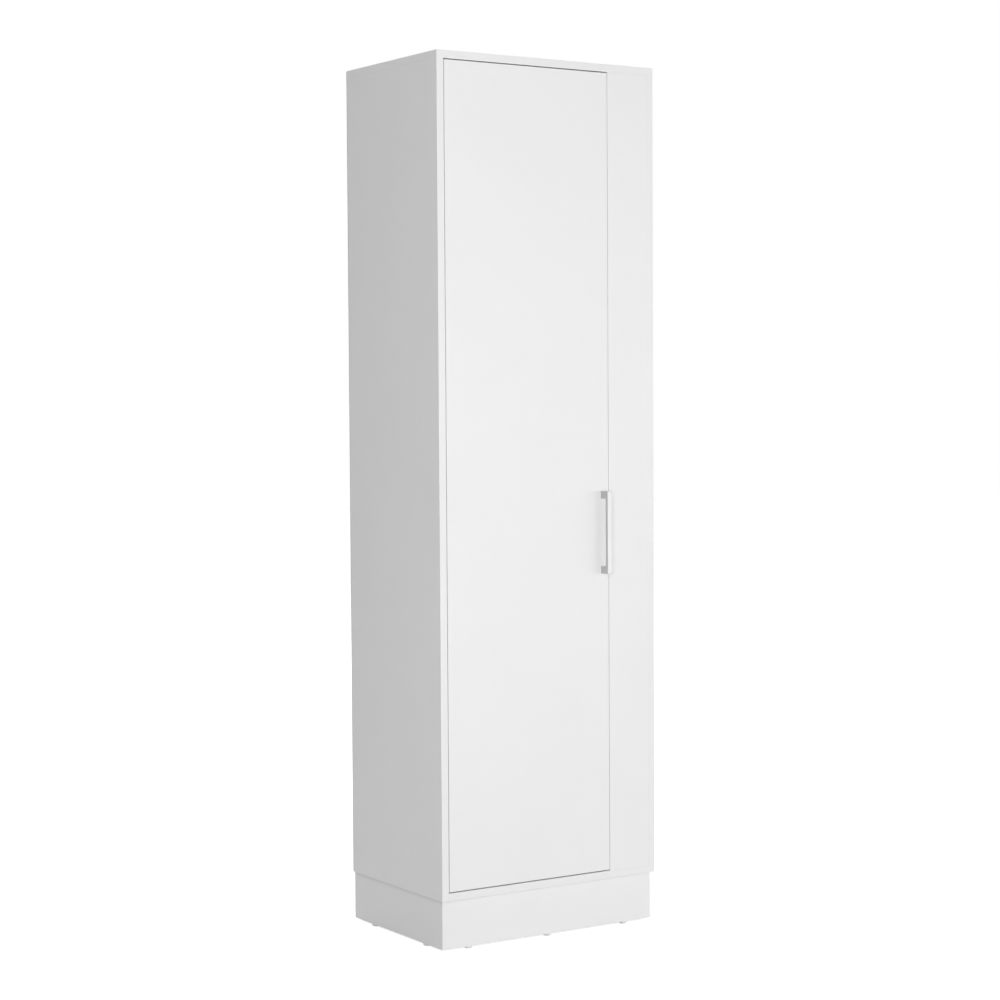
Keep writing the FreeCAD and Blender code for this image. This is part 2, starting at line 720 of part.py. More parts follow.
def cam_locks():
    """A disc in the board's face round each bolt's head: four under the top and four in each cross board."""
    cams = Piece("cam_locks", ("bodyLeft", "bodyFront", "bodyBottom"))
    side_places = cross(cam_rows, ["roomCeiling - camReach"])
    for disc, slot in (("roomLeft - camDepth", "roomLeft - camSlotDepth"), ("roomRight", "roomRight")):
        cams.add("X", disc, "camDepth", *holes(side_places, "camDiameter"))
        cam_slots(cams, "X", slot, side_places)
    cam_room(cams, "Z", "roomCeiling", -1, cross(side_middles, cam_rows))
    for level, rows in (("bodyBottom", cam_rows), ("upperShelfBottom", shelf_cam_rows)):
        places = cross(["roomLeft + camReach", "roomRight - camReach"], rows)
        cams.add("Z", level, "camDepth", *holes(places, "camDiameter"))
        cam_slots(cams, "Z", level, places)
        bolts = cross(rows, [plus(level, "halfBoard")])
        cam_room(cams, "X", "roomLeft", 1, bolts)
        cam_room(cams, "X", "roomRight", -1, bolts)


def dowels():
    """Wooden dowels at every joint, a short end in the board's face and a long end in the other's edge."""
    pegs = Piece("dowels", ("bodyLeft", "bodyFront", "bodyBottom"))
    ends = cross(dowel_rows, [floor_middle]) + cross(shelf_dowel_rows, [shelf_middle])
    rows = [("Z", minus("roomCeiling", edge_depth), cross(side_middles, dowel_rows) + fixed_dowels),
            ("Z", minus("upperShelfBottom", edge_depth), divider_dowels),
            ("Z", "roomFloor - dowelHole", divider_dowels + fixed_dowels),
            ("X", "roomLeft - dowelHole", ends + rail_dowels),
            ("X", minus("roomRight", edge_depth), ends),
            ("X", minus("dividerLeft", edge_depth), rail_dowels)]
    for axis, start, places in rows:
        pegs.add(axis, start, "dowelLength", *holes(places, "dowelDiameter"))


def nail_run(start, end):
    """Evenly spaced places from start to end, both ends included, about one nail pitch apart."""
    spaces = max(1, round((mm(end) - mm(start)) / mm("nailPitch")))
    return [plus(start, "(%s) * %d / %d" % (minus(end, start), step, spaces)) for step in range(spaces + 1)]


def nail_places():
    """Nails as (x, z) round the back panel, along the upper shelf and up the divider, clear of the rail."""
    low, high = "bodyBottom + halfBoard", "bodyTop - halfBoard"
    upright = cross(side_middles, nail_run(low, "railBottom") + nail_run("railTop", high))
    level = cross(nail_run(*side_middles)[1:-1], [low, high, shelf_middle])
    divider_levels = nail_run("roomFloor", "railBottom")[1:-1] + ["(railTop + upperShelfBottom) / 2"]
    return upright + level + cross(["dividerLeft + halfBoard"], divider_levels)


def back_panel_nails():
    nails = Piece("back_panel_nails", ("bodyLeft", "bodyFront", "bodyBottom"))
    nails.drive("Y", 1, "boardBack + backThickness", nail_places(), "nailLength", "nailHeadHeight",
                "nailDiameter", "nailHeadDiameter")


# Angle brackets: each is an L with one leg on each of two faces that meet in a corner.

def bracket(piece, axis, start, width, corner, across, up):
    """An L across the axis with its corner at (a, b); across and up are 1 or -1, the ways its legs run."""
    a, b = corner
    end_a, end_b = plus(a, "%d * bracketLeg" % across), plus(b, "%d * bracketLeg" % up)
    inner_a, inner_b = plus(a, "%d * bracketThickness" % across), plus(b, "%d * bracketThickness" % up)
    piece.add(axis, start, width,
              outline((a, b), (end_a, b), (end_a, inner_b), (inner_a, inner_b), (inner_a, end_b), (a, end_b)))


def fixed_panel_brackets():
    """Three brackets in the corner between the fixed front panel and the right side panel."""
    brackets = Piece("fixed_panel_brackets", ("fixedLeft", "bodyFront", "bodyBottom"))
    screws = Piece("fixed_panel_screws", ("fixedLeft", "bodyFront", "bodyBottom"))
    levels = ["roomFloor + (roomCeiling - roomFloor) * %d / 6" % step for step in (1, 3, 5)]
    in_front = cross(["roomRight - bracketScrewPlace"], levels)
    in_side = cross(["fixedBack + bracketScrewPlace"], levels)
    hole = ("screwDiameter", "screwClearance")
    for level in levels:
        bottom = minus(level, "bracketWidth / 2")
        bracket(brackets, "Z", bottom, "bracketWidth", ("roomRight", "fixedBack"), -1, 1)
    brackets.cut("Y", "fixedBack", "bracketThickness", *holes(in_front, *hole))
    brackets.cut("X", "roomRight - bracketThickness", "bracketThickness", *holes(in_side, *hole))
    screws.drive("Y", 1, "fixedBack + bracketThickness", in_front)
    screws.drive("X", -1, "roomRight - bracketThickness", in_side)


def plinth_brackets():
    """An upright bracket in each corner of the plinth and a flat one from each board to the bottom panel."""
    brackets = Piece("plinth_brackets", ("bodyLeft", "bodyFront", "0"))
    screws = Piece("plinth_screws", ("bodyLeft", "bodyFront", "0"))
    middle = "(glideHeight + bodyBottom) / 2"
    hole = "screwDiameter + screwClearance"
    upright_start = minus(middle, "bracketWidth / 2")
    for x, across in (("plinthRoomLeft", 1), ("plinthRoomRight", -1)):
        for y, along in (("plinthRoomFront", 1), ("plinthRoomBack", -1)):
            bracket(brackets, "Z", upright_start, "bracketWidth", (x, y), across, along)
    columns = ["plinthRoomLeft + bracketScrewPlace", "plinthRoomRight - bracketScrewPlace"]
    rows = ["plinthRoomFront + bracketScrewPlace", "plinthRoomBack - bracketScrewPlace"]
    for y, outward in (("plinthRoomFront", 1), ("plinthRoomBack", -1)):
        start = y if outward > 0 else minus(y, "bracketThickness")
        face = plus(y, "%d * bracketThickness" % outward)
        brackets.cut("Y", start, "bracketThickness", *[circle(x, middle, hole) for x in columns])
        screws.drive("Y", outward, face, cross(columns, [middle]))
        bracket(brackets, "X", "0 - bracketWidth / 2", "bracketWidth", (y, "bodyBottom"), outward, -1)
        drop = "bodyBottom - bracketScrewPlace"
        brackets.cut("Y", start, "bracketThickness", circle("0", drop, hole))
        screws.drive("Y", outward, face, [("0", drop)])
        along = plus(y, "%d * bracketScrewPlace" % outward)
        brackets.cut("Z", "bodyBottom - bracketThickness", "bracketThickness", circle("0", along, hole))
        screws.drive("Z", -1, "bodyBottom - bracketThickness", [("0", along)])
    for x, outward in (("plinthRoomLeft", 1), ("plinthRoomRight", -1)):
        start = x if outward > 0 else minus(x, "bracketThickness")
        face = plus(x, "%d * bracketThickness" % outward)
        brackets.cut("X", start, "bracketThickness", *[circle(y, middle, hole) for y in rows])
        screws.drive("X", outward, face, cross(rows, [middle]))


def wall_hole_places():
    return cross(spread("0", "wallBracketSpread"), ["wallHoleZ"])


def wall_brackets():
    """Two brackets under the top panel at the back, with a hole that goes on through the back panel."""
    brackets = Piece("wall_brackets", ("bodyLeft", "bodyFront", "bodyBottom"))
    screws = Piece("wall_bracket_screws", ("bodyLeft", "bodyFront", "bodyBottom"))
    for middle, _ in wall_hole_places():
        bracket(brackets, "X", minus(middle, "wallBracketWidth / 2"), "wallBracketWidth",
                ("boardBack", "roomCeiling"), -1, -1)
    brackets.cut("Y", "boardBack - bracketThickness", "bracketThickness",
                 *holes(wall_hole_places(), "wallHoleDiameter"))
    columns = [column for middle, _ in wall_hole_places() for column in spread(middle, "wallScrewSpread")]
    places = cross(columns, ["wallScrewY"])
    brackets.cut("Z", "roomCeiling - bracketThickness", "bracketThickness",
                 *holes(places, "screwDiameter", "screwClearance"))
    screws.drive("Z", -1, "roomCeiling - bracketThickness", places)


# The door and what turns with it.
handle_screw_places = cross(["handleX"], ["handleLowScrew", "handleHighScrew"])


def door_panel():
    panel = board("door_panel", "Y", ("doorLeft", "bodyFront", "doorBottom"),
                  ("doorRight", "doorBack", "doorTop"))
    panel.round_edges("edgeRadius", lambda a, b: on(b.y, "bodyFront") or on(a.y, "doorBack"))
    cups = [circle("cupX", level, "cupDiameter") for level in hinge_levels.values()]
    panel.cut("Y", "doorBack - cupDepth", "cupDepth", *cups)
    panel.cut("Y", "bodyFront", "doorThickness",
              *holes(handle_screw_places, "handleScrewDiameter", "screwClearance"))


def handle():
    """A square bridge handle: a flat bar on two posts, cut from one bar of metal."""
    left = "handleX - handleWidth / 2"
    under = "handleFront + handleBarDepth"
    low_post, high_post = "handleBottom + handlePostHeight", "handleTop - handlePostHeight"
    grip = Piece("handle", (left, "handleFront", "handleBottom"))
    grip.add("X", left, "handleWidth",
             outline(("handleFront", "handleBottom"), ("bodyFront", "handleBottom"), ("bodyFront", low_post),
                     (under, low_post), (under, high_post), ("bodyFront", high_post),
                     ("bodyFront", "handleTop"), ("handleFront", "handleTop")))
    grip.round_edges("handleRadius", lambda a, b: on(b.y, "handleFront"))
    grip.cut("Y", "bodyFront - handleScrewGrip", "handleScrewGrip",
             *holes(handle_screw_places, "handleScrewDiameter"))


def handle_screws():
    screws = Piece("handle_screws", ("doorLeft", "bodyFront - handleScrewGrip", "doorBottom"))
    screws.drive("Y", 1, "doorBack", handle_screw_places, "doorThickness + handleScrewGrip",
                 "handleScrewHeadHeight", "handleScrewDiameter", "handleScrewHeadDiameter")
    tip = mm("doorBack + handleScrewHeadHeight")
    screws.round_edges("handleRadius", lambda a, b: abs(a.y - tip) < 0.01)


def cup_screw_places(level):
    return cross(["cupScrewX"], spread(level, "cupScrewSpread"))


def plate_screw_places(level):
    return cross(["wingMiddle"], spread(level, "plateScrewSpread"))


def adjuster_places(level):
    return cross(["armStart + adjusterInset", "armEnd - adjusterInset"], [level])


def hinge_cup(name, level):
    """A pressed cup sunk in the door, with a flange on the door's face and a pin across its room."""
    bottom = "doorBack - cupDepth"
    cup = Piece("hinge_cup_" + name, ("cupX - cupDiameter", bottom, minus(level, "flangeLength")))
    cup.add("Y", "doorBack", "flangeThickness",
            centred("cupScrewX", level, "flangeWidth / 2", "flangeLength / 2"))
    cup.round_edges("flangeRadius", lambda a, b: b.x - a.x < 0.01 and b.z - a.z < 0.01)
    cup.add("Y", "doorBack", "flangeThickness", circle("cupX", level, "flangeDiameter"))
    cup.add("Y", bottom, "cupDepth", circle("cupX", level, "cupDiameter - 2 * cupClearance"))
    floor = plus(bottom, "cupFloor")
    for length, width in (("cupRoomLength", "cupRoomWidth"), ("cupEndLength", "cupEndWidth")):
        room = centred("cupX", level, length + " / 2", width + " / 2")
        cup.cut("Y", floor, minus("flangeFace", floor), room)
    cup.cut("Y", "doorBack", "flangeThickness",
            *holes(cup_screw_places(level), "screwDiameter", "screwClearance"))
    cup.cut("Z", minus(level, "pivotLength / 2"), "pivotLength", circle("pivotX", "pivotY", "pivotDiameter"))


def hinge_arm(name, level):
    """A goose-neck arm: an eye on the pin, a neck out of the cup, and a channel that sits on the plate."""
    bottom, top = spread(level, "armWidth / 2")
    neck_low, neck_high = spread("neckX", "armThickness / 2")
    tongue_front, tongue_back = spread("pivotY", "armThickness / 2")
    bridge_front, bridge_back = spread("neckY", "armThickness / 2")
    arm = Piece("hinge_arm_" + name, ("roomLeft", "bodyFront", bottom))
    arm.add("Z", bottom, "armWidth",
            outline(("pivotX", tongue_front), (neck_high, tongue_front), (neck_high, bridge_back),
                    ("webFace", bridge_back), ("webFace", "armEnd"), ("webX", "armEnd"),
                    ("webX", bridge_front), (neck_low, bridge_front), (neck_low, tongue_back),
                    ("pivotX", tongue_back)))
    bends = [(neck_high, tongue_front), (neck_high, bridge_back), ("webX", bridge_front)]
    for x, y in bends:
        arm.round_edges("armBend", lambda a, b: on(a.x, x) and on(b.x, x) and on(a.y, y) and on(b.y, y))
    arm.add("Z", bottom, "armWidth", circle("pivotX", "pivotY", "eyeDiameter"))
    arm.cut("Z", bottom, "armWidth", circle("pivotX", "pivotY", "pivotDiameter + 2 * pivotClearance"))
    cheek_start = "plateFace + plateClearance"
    arm.add("X", cheek_start, minus("webX", cheek_start),
            rectangle("armStart", bottom, "armEnd", plus(bottom, "armCheek")),
            rectangle("armStart", minus(top, "armCheek"), "armEnd", top))
    arm.cut("X", "webX", "armThickness", *holes(adjuster_places(level), "adjusterDiameter", "screwClearance"))


def hinge_plate(name, level):
    """A cross-shaped plate on the side panel, with a raised spine that the arm's channel covers."""
    plate = Piece("hinge_plate_" + name, ("roomLeft", "bodyFront", minus(level, "plateWingLength / 2")))
    plate.add("X", "roomLeft", "plateThickness",
              centred("wingMiddle", level, "plateWingWidth / 2", "plateWingLength / 2"))
    plate.round_edges("flangeRadius", lambda a, b: b.y - a.y < 0.01 and b.z - a.z < 0.01)
    middle = "(armStart + armEnd) / 2"
    plate.add("X", "roomLeft", "plateThickness", centred(middle, level, "armBodyLength / 2", "armWidth / 2"))
    plate.add("X", "plateFace", "webX - plateClearance - plateFace",
              centred(middle, level, "armBodyLength / 2", "spineHalf"))
    adjusters, screws = adjuster_places(level), plate_screw_places(level)
    plate.cut("X", "webFace - adjusterLength", "adjusterLength", *holes(adjusters, "adjusterDiameter"))
    plate.cut("X", "roomLeft", "plateThickness", *holes(screws, "screwDiameter", "screwClearance"))


def hinges():
    """The lower, middle and upper hinge with their pins and screws."""
    for name, level in hinge_levels.items():
        hinge_cup(name, level)
        hinge_arm(name, level)
        hinge_plate(name, level)
    pins = Piece("hinge_pins", ("doorLeft", "bodyFront", "doorBottom"))
    cup_screws = Piece("hinge_cup_screws", ("doorLeft", "bodyFront", "doorBottom"))
    plate_screws = Piece("hinge_plate_screws", ("bodyLeft", "bodyFront", "doorBottom"))
    adjusters = Piece("hinge_adjusters", ("roomLeft", "bodyFront", "doorBottom"))
    for level in hinge_levels.values():
        bottom = minus(level, "pivotLength / 2")
        pins.add("Z", bottom, "pivotLength", circle("pivotX", "pivotY", "pivotDiameter"))
        cup_screws.drive("Y", 1, "flangeFace", cup_screw_places(level))
        plate_screws.drive("X", 1, "plateFace", plate_screw_places(level))
        adjusters.drive("X", 1, "webFace", adjuster_places(level), "adjusterLength", "adjusterHeadHeight",
                        "adjusterDiameter", "adjusterHeadDiameter")


# Magnetic catches above and below the door's free side, which also stop the door flush.

def catch_screw_places():
    return cross(spread("catchX", "catchScrewSpread"), ["catchFront + catchDepth / 2"])


def magnet_outline(level):
    return centred("catchX", level, "catchMagnetWidth / 2", "catchMagnetHeight / 2")


def catch_bodies():
    """A plastic block with a pocket for its magnet and two screw holes."""
    for name, level in catch_levels.items():
        bottom = minus(level, "catchHeight / 2")
        body = Piece("catch_body_" + name, ("catchX - catchWidth / 2", "catchFront", bottom))
        body.add("Y", "catchFront", "catchDepth",
                 centred("catchX", level, "catchWidth / 2", "catchHeight / 2"))
        body.round_edges("catchRadius", lambda a, b: b.z - a.z > 1)
        body.cut("Y", "catchFront", "catchMagnetDepth", magnet_outline(level))
        body.cut("Z", bottom, "catchHeight", *holes(catch_screw_places(), "screwDiameter", "screwClearance"))


def catch_magnets():
    magnets = Piece("catch_magnets", ("catchX - catchMagnetWidth / 2", "magnetFront", "bodyBottom"))
    magnets.add("Y", "magnetFront", "catchMagnetDepth + catchMagnetProud",
                *[magnet_outline(level) for level in catch_levels.values()])


def catch_screws():
    screws = Piece("catch_screws", ("bodyLeft", "bodyFront", "bodyBottom"))
    screws.drive("Z", 1, "roomFloor + catchHeight", catch_screw_places(), "catchScrewLength")
    screws.drive("Z", -1, "roomCeiling - catchHeight", catch_screw_places(), "catchScrewLength")


# The strikes lie as near the door's ends as its rounded edges let them, opposite the magnets.
strike_levels = ["doorBottom + strikeHeight / 2 + edgeRadius", "doorTop - strikeHeight / 2 - edgeRadius"]
strike_screw_places = cross(spread("catchX", "strikeScrewSpread"), strike_levels)


def catch_strikes():
    strikes = Piece("catch_strikes", ("catchX - strikeWidth / 2", "doorBack", "doorBottom"))
    strikes.add("Y", "doorBack", "strikeThickness",
                *[centred("catchX", level, "strikeWidth / 2", "strikeHeight / 2") for level in strike_levels])
    strikes.cut("Y", "doorBack", "strikeThickness",
                *holes(strike_screw_places, "screwHeadDiameter", "screwClearance"))


def strike_screws():
    """Sunk screws whose heads end flush with the strikes."""
    screws = Piece("strike_screws", ("doorLeft", "bodyFront", "doorBottom"))
    screws.drive("Y", 1, "doorBack", strike_screw_places, "screwLength", "strikeThickness")


def check():
    """Stops if any object failed, or any sub-part is empty or faulty."""
    doc.recompute()
    for item in doc.Objects:
        bad = [state for state in item.State if state in ("Invalid", "Error")]
        if bad:
            raise RuntimeError("%s: %s" % (item.Name, bad))
    for body in pieces:
        shape = body.Shape
        if shape.isNull() or not shape.isValid() or not shape.Solids:
            raise RuntimeError(body.Label + ": no valid solid")


def main():
    fill_sheet()
    for make in (left_side_panel, right_side_panel, top_panel, bottom_panel, fixed_front_panel, divider_panel,
                 upper_shelf, side_shelves, shelf_pins, broom_rail, broom_clips, clip_screws, back_panel,
                 back_panel_nails, plinth_boards, plinth_brackets, floor_glides, cam_bolts, cam_locks, dowels,
                 fixed_panel_brackets, wall_brackets, door_panel, handle, handle_screws, hinges, catch_bodies,
                 catch_magnets, catch_screws, catch_strikes, strike_screws):
        make()
    check()
    os.makedirs("parts", exist_ok=True)
    for body in pieces:
        body.Shape.exportStep(os.path.join("parts", body.Label + ".step"))
        print("%-24s %2d solids %12.1f mm3" % (body.Label, len(body.Shape.Solids), body.Shape.Volume))


main()
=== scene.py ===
import bmesh
import bpy
import json
import math
from mathutils import Matrix, Vector


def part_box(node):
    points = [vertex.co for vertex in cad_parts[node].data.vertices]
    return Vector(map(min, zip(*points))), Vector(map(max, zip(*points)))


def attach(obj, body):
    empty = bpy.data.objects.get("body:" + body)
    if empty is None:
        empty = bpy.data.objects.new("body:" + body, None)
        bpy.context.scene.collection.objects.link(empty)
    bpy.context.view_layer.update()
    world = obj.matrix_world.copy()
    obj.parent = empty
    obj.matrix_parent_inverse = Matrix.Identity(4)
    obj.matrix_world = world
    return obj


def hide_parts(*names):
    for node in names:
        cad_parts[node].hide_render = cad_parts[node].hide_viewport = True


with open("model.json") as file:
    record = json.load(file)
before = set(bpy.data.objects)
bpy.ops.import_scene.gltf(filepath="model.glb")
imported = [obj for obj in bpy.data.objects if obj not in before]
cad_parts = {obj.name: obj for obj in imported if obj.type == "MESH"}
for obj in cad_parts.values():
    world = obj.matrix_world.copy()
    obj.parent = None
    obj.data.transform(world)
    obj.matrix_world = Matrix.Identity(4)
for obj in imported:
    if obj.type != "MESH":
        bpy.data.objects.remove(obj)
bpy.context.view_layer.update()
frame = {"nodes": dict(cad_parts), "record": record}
cadNodes = frame["nodes"]
bodies = frame["record"]["behaviour"]["bodies"]
bodyOf = {node: body for body, held in bodies.items() for node in held}
slotOf = {part["node"]: part["material_slot"] for part in frame["record"]["subparts"]}
mm = 0.001
print("frame loaded:", len(cadNodes), "nodes")


# small helpers

noiseLow = 0.3  # a noise texture hardly ever falls below this
noiseHigh = 0.7  # or rises above this


def hexColour(text):
    # sRGB hex to the linear colour that sockets take
    parts = [int(text[i:i + 2], 16) / 255 for i in (0, 2, 4)]
    linear = [p / 12.92 if p <= 0.04045 else ((p + 0.055) / 1.055) ** 2.4 for p in parts]
    return (*linear, 1.0)


def perMetre(size):
    # the Scale of a texture whose pattern is this many mm across
    return 1 / (size * mm)


def addNode(tree, kind, inputs=None, **settings):
    # adds one node; an input is a socket to link from, a list of them, or a plain value
    made = tree.nodes.new(kind)
    for name, value in settings.items():
        setattr(made, name, value)
    for name, value in (inputs or {}).items():
        for each in value if isinstance(value, list) else [value]:
            if isinstance(each, bpy.types.NodeSocket):
                tree.links.new(each, made.inputs[name])
            else:
                made.inputs[name].default_value = each
    return made


def newMaterial(name):
    # in the trees below, a Mix node's colours go in at its sockets 6 and 7, and come out of its socket 2
    made = bpy.data.materials.new(name)
    made.use_nodes = True
    made.node_tree.nodes.clear()
    return made, made.node_tree


def shaded(tree, colour, pattern, darkest):
    # the colour, down to darkest of its brightness where the pattern is low
    shade = addNode(tree, "ShaderNodeMapRange", {
        "Value": pattern, "From Min": noiseLow, "From Max": noiseHigh, "To Min": darkest, "To Max": 1.0})
    return addNode(tree, "ShaderNodeVectorMath", {0: colour, "Scale": shade.outputs[0]},
                   operation="SCALE").outputs[0]


def finishMaterial(tree, inputs):
    shader = addNode(tree, "ShaderNodeBsdfPrincipled", inputs)
    addNode(tree, "ShaderNodeOutputMaterial", {"Surface": shader.outputs["BSDF"]})


def inScene(thing):
    bpy.context.scene.collection.objects.link(thing)
    return thing


# camera: turned, tilted and rolled about a place in front of the cupboard; angles in degrees, place and clip
# in metres, lens and sensor in mm

cameraSetup = {"place": (-2.5045, -3.85185, 1.0591), "azimuth": -32.919, "elevation": 2.633, "roll": -0.338,
               "lens": 83.08, "sensor": 36.0, "clip": (0.1, 60)}


def makeCamera(setup):
    turn, tilt, roll = (math.radians(setup[key]) for key in ("azimuth", "elevation", "roll"))
    back = Vector((math.sin(turn) * math.cos(tilt), -math.cos(turn) * math.cos(tilt), math.sin(tilt)))
    level = (-back).cross(Vector((0, 0, 1))).normalized()
    upright = level.cross(-back)
    right = level * math.cos(roll) + upright * math.sin(roll)
    up = upright * math.cos(roll) - level * math.sin(roll)
    camera = inScene(bpy.data.objects.new("camera", bpy.data.cameras.new("camera")))
    camera.data.lens = setup["lens"]
    camera.data.sensor_width = setup["sensor"]
    camera.data.clip_start, camera.data.clip_end = setup["clip"]
    camera.matrix_world = Matrix.Translation(setup["place"]) @ Matrix((right, up, back)).transposed().to_4x4()
    bpy.context.scene.camera = camera


# light: a wide soft lamp to the right, one to the left, two small ones near the floor, one behind for the
# back, and a white room, which has the strength room on the object and behind where it is seen; places and
# sizes in metres, aim is the height that a lamp points at, power in watts

lightSetup = {
    "room": 0.31, "behind": 1.0,
    "lamps": {"rightLamp": {"place": (3.9, -4.6, 1.0), "aim": -2.0, "size": (8.0, 1.9), "power": 128},
              "leftLamp": {"place": (-2.8, -3.9, 1.5), "aim": 0.0, "size": (2.0, 2.7), "power": 86},
              "lowFrontLamp": {"place": (-0.6, -3.6, 0.35), "aim": 0.1, "size": (2.4, 0.6), "power": 5},
              "lowLeftLamp": {"place": (-1.5, -3.0, 0.3), "aim": 0.0, "size": (1.2, 0.5), "power": 4},
              "rearLamp": {"place": (2.6, 4.6, 4.6), "aim": 0.9, "size": (4.0, 4.0), "power": 130}}}


def seenDirectly(tree):
    # 1 for what the camera sees, straight or in metal or glass, and 0 for light that falls on the object
    path = addNode(tree, "ShaderNodeLightPath")
    seen = addNode(tree, "ShaderNodeMath", {
        0: path.outputs["Is Camera Ray"], 1: path.outputs["Is Glossy Ray"]}, operation="MAXIMUM")
    return addNode(tree, "ShaderNodeMath", {0: seen.outputs[0], 1: path.outputs["Is Transmission Ray"]},
                   operation="MAXIMUM").outputs[0]


def makeLights(setup):
    for name, lamp in setup["lamps"].items():
        data = bpy.data.lights.new(name, "AREA")
        data.shape = "RECTANGLE"
        data.size, data.size_y = lamp["size"]
        data.energy = lamp["power"]
        held = inScene(bpy.data.objects.new(name, data))
        held.location = lamp["place"]
        towards = Vector((0, 0, lamp["aim"])) - Vector(lamp["place"])
        held.rotation_euler = towards.to_track_quat("-Z", "Y").to_euler()
        held.visible_camera = False
    world = bpy.data.worlds.new("whiteRoom")
    world.use_nodes = True
    tree = world.node_tree
    tree.nodes.clear()
    strength = addNode(tree, "ShaderNodeMapRange", {
        "Value": seenDirectly(tree), "To Min": setup["room"], "To Max": setup["behind"]})
    white = addNode(tree, "ShaderNodeBackground", {
        "Color": (1, 1, 1, 1), "Strength": strength.outputs["Result"]})
    addNode(tree, "ShaderNodeOutputWorld", {"Surface": white.outputs[0]})
    bpy.context.scene.world = world


# floor: pale, and lifted to white for what sees it directly or in a reflection, with the shadow kept; half
# is half its side, in metres

floorSetup = {"half": 14.0, "colour": "E6E6E6", "lift": 0.78}


def makeFloor(setup):
    material, tree = newMaterial("paleStudioFloor")
    plain = addNode(tree, "ShaderNodeBsdfDiffuse", {"Color": hexColour(setup["colour"])})
    lift = addNode(tree, "ShaderNodeMath", {0: seenDirectly(tree), 1: setup["lift"]}, operation="MULTIPLY")
    glow = addNode(tree, "ShaderNodeEmission", {"Color": (1, 1, 1, 1), "Strength": lift.outputs[0]})
    both = addNode(tree, "ShaderNodeAddShader", {0: plain.outputs[0], 1: glow.outputs[0]})
    addNode(tree, "ShaderNodeOutputMaterial", {"Surface": both.outputs[0]})
    half = setup["half"]
    mesh = bpy.data.meshes.new("studioFloor")
    corners = [(-half, -half, 0), (half, -half, 0), (half, half, 0), (-half, half, 0)]
    mesh.from_pydata(corners, [], [(0, 1, 2, 3)])
    mesh.materials.append(material)
    floor = inScene(bpy.data.objects.new("studioFloor", mesh))


makeCamera(cameraSetup)
makeLights(lightSetup)
makeFloor(floorSetup)
bpy.context.scene.view_settings.view_transform = "Standard"
print("camera, lights and floor made")


# Melamine-faced particle board. The faces are printed resin paper pressed to a fine matt pearl, which gives
# the eye a clean white with a broad soft sheen. The edges have a thin white plastic band, a touch smoother,
# with a hairline of glue where it meets the face. Where a board is drilled, or sawn and left bare at the
# back, its brown chips show. Under the body's overhang, painted shade darkens the plinth's sides towards
# their upper edge. Sizes are in mm. The real pearl is about 0.3 mm across and is drawn at 1.4 mm, so that
# it shows. faceTurn and rearTurn say how squarely a surface looks along the board's thickness, or to the
# rear, before it counts as a face, or as the rear edge. wearRange is where in their noise the worn patches
# begin and are full.

melamineSetup = {"face": "EBEBEB", "band": "EAEAEA", "glue": "DCDBD8", "overhangShade": "C9C7C4", "chipDark": "8A6A45",
                 "chipPale": "D9BE92", "faceRoughness": 0.48, "bandRoughness": 0.46, "bareRoughness": 0.9,
                 "ior": 1.5, "faceTurn": (0.7, 0.8), "rearTurn": 0.9, "bandThickness": 0.5, "glueWidth": 0.12,
                 "cloudSize": 180, "cloudDetail": 3.0, "cloudShade": 0.985, "overhangShadeWidth": 14, "overhangShadeFall": 3.0,
                 "wearWidth": 6, "wearPatch": 25, "wearDetail": 4.0, "wearRange": (0.45, 0.65),
                 "wearGloss": 0.06, "pearlGrain": 1.4, "pearlDetail": 2.0, "pearlDepth": 0.03,
                 "pearlStrength": 0.5, "chipSize": 1.6, "chipDepth": 0.25, "chipStrength": 0.6}


def nearestEdge(tree, spot, low, high, across):
    # how far each point lies from the board's nearest edge, in metres
    room = (high - low) / 2
    room[across] = 1.0  # far away, so that only the board's edges count
    centred = addNode(tree, "ShaderNodeMapping", {"Vector": spot, "Location": -(low + high) / 2})
    outward = addNode(tree, "ShaderNodeVectorMath", {0: centred.outputs[0]}, operation="ABSOLUTE")
    inward = addNode(tree, "ShaderNodeVectorMath", {0: room, 1: outward.outputs[0]}, operation="SUBTRACT")
    sides = addNode(tree, "ShaderNodeSeparateXYZ", {"Vector": inward.outputs[0]})
    nearest = addNode(tree, "ShaderNodeMath", {0: sides.outputs[0], 1: sides.outputs[1]}, operation="MINIMUM")
    return addNode(tree, "ShaderNodeMath", {0: nearest.outputs[0], 1: sides.outputs[2]},
                   operation="MINIMUM").outputs[0]


def paintedOverhangShade(tree, setup, spot, turned, upperEdge, colour):
    # painted shade under an overhang: darkest at the board's upper edge, and only on what faces sideways
    level = addNode(tree, "ShaderNodeSeparateXYZ", {"Vector": spot})
    near = addNode(tree, "ShaderNodeMapRange", {
        "Value": level.outputs["Z"], "From Max": upperEdge, "From Min": upperEdge - setup["overhangShadeWidth"] * mm})
    shadeAmount = addNode(tree, "ShaderNodeMath", {0: near.outputs[0], 1: setup["overhangShadeFall"]}, operation="POWER")
    sideways = addNode(tree, "ShaderNodeMath", {0: turned.outputs["X"]}, operation="ABSOLUTE")
    overhangShade = addNode(tree, "ShaderNodeMath", {0: shadeAmount.outputs[0], 1: sideways.outputs[0]},
                   operation="MULTIPLY")
    return addNode(tree, "ShaderNodeMix", {"Factor": overhangShade.outputs[0], 6: colour, 7: hexColour(setup["overhangShade"])},
                   data_type="RGBA").outputs[2]


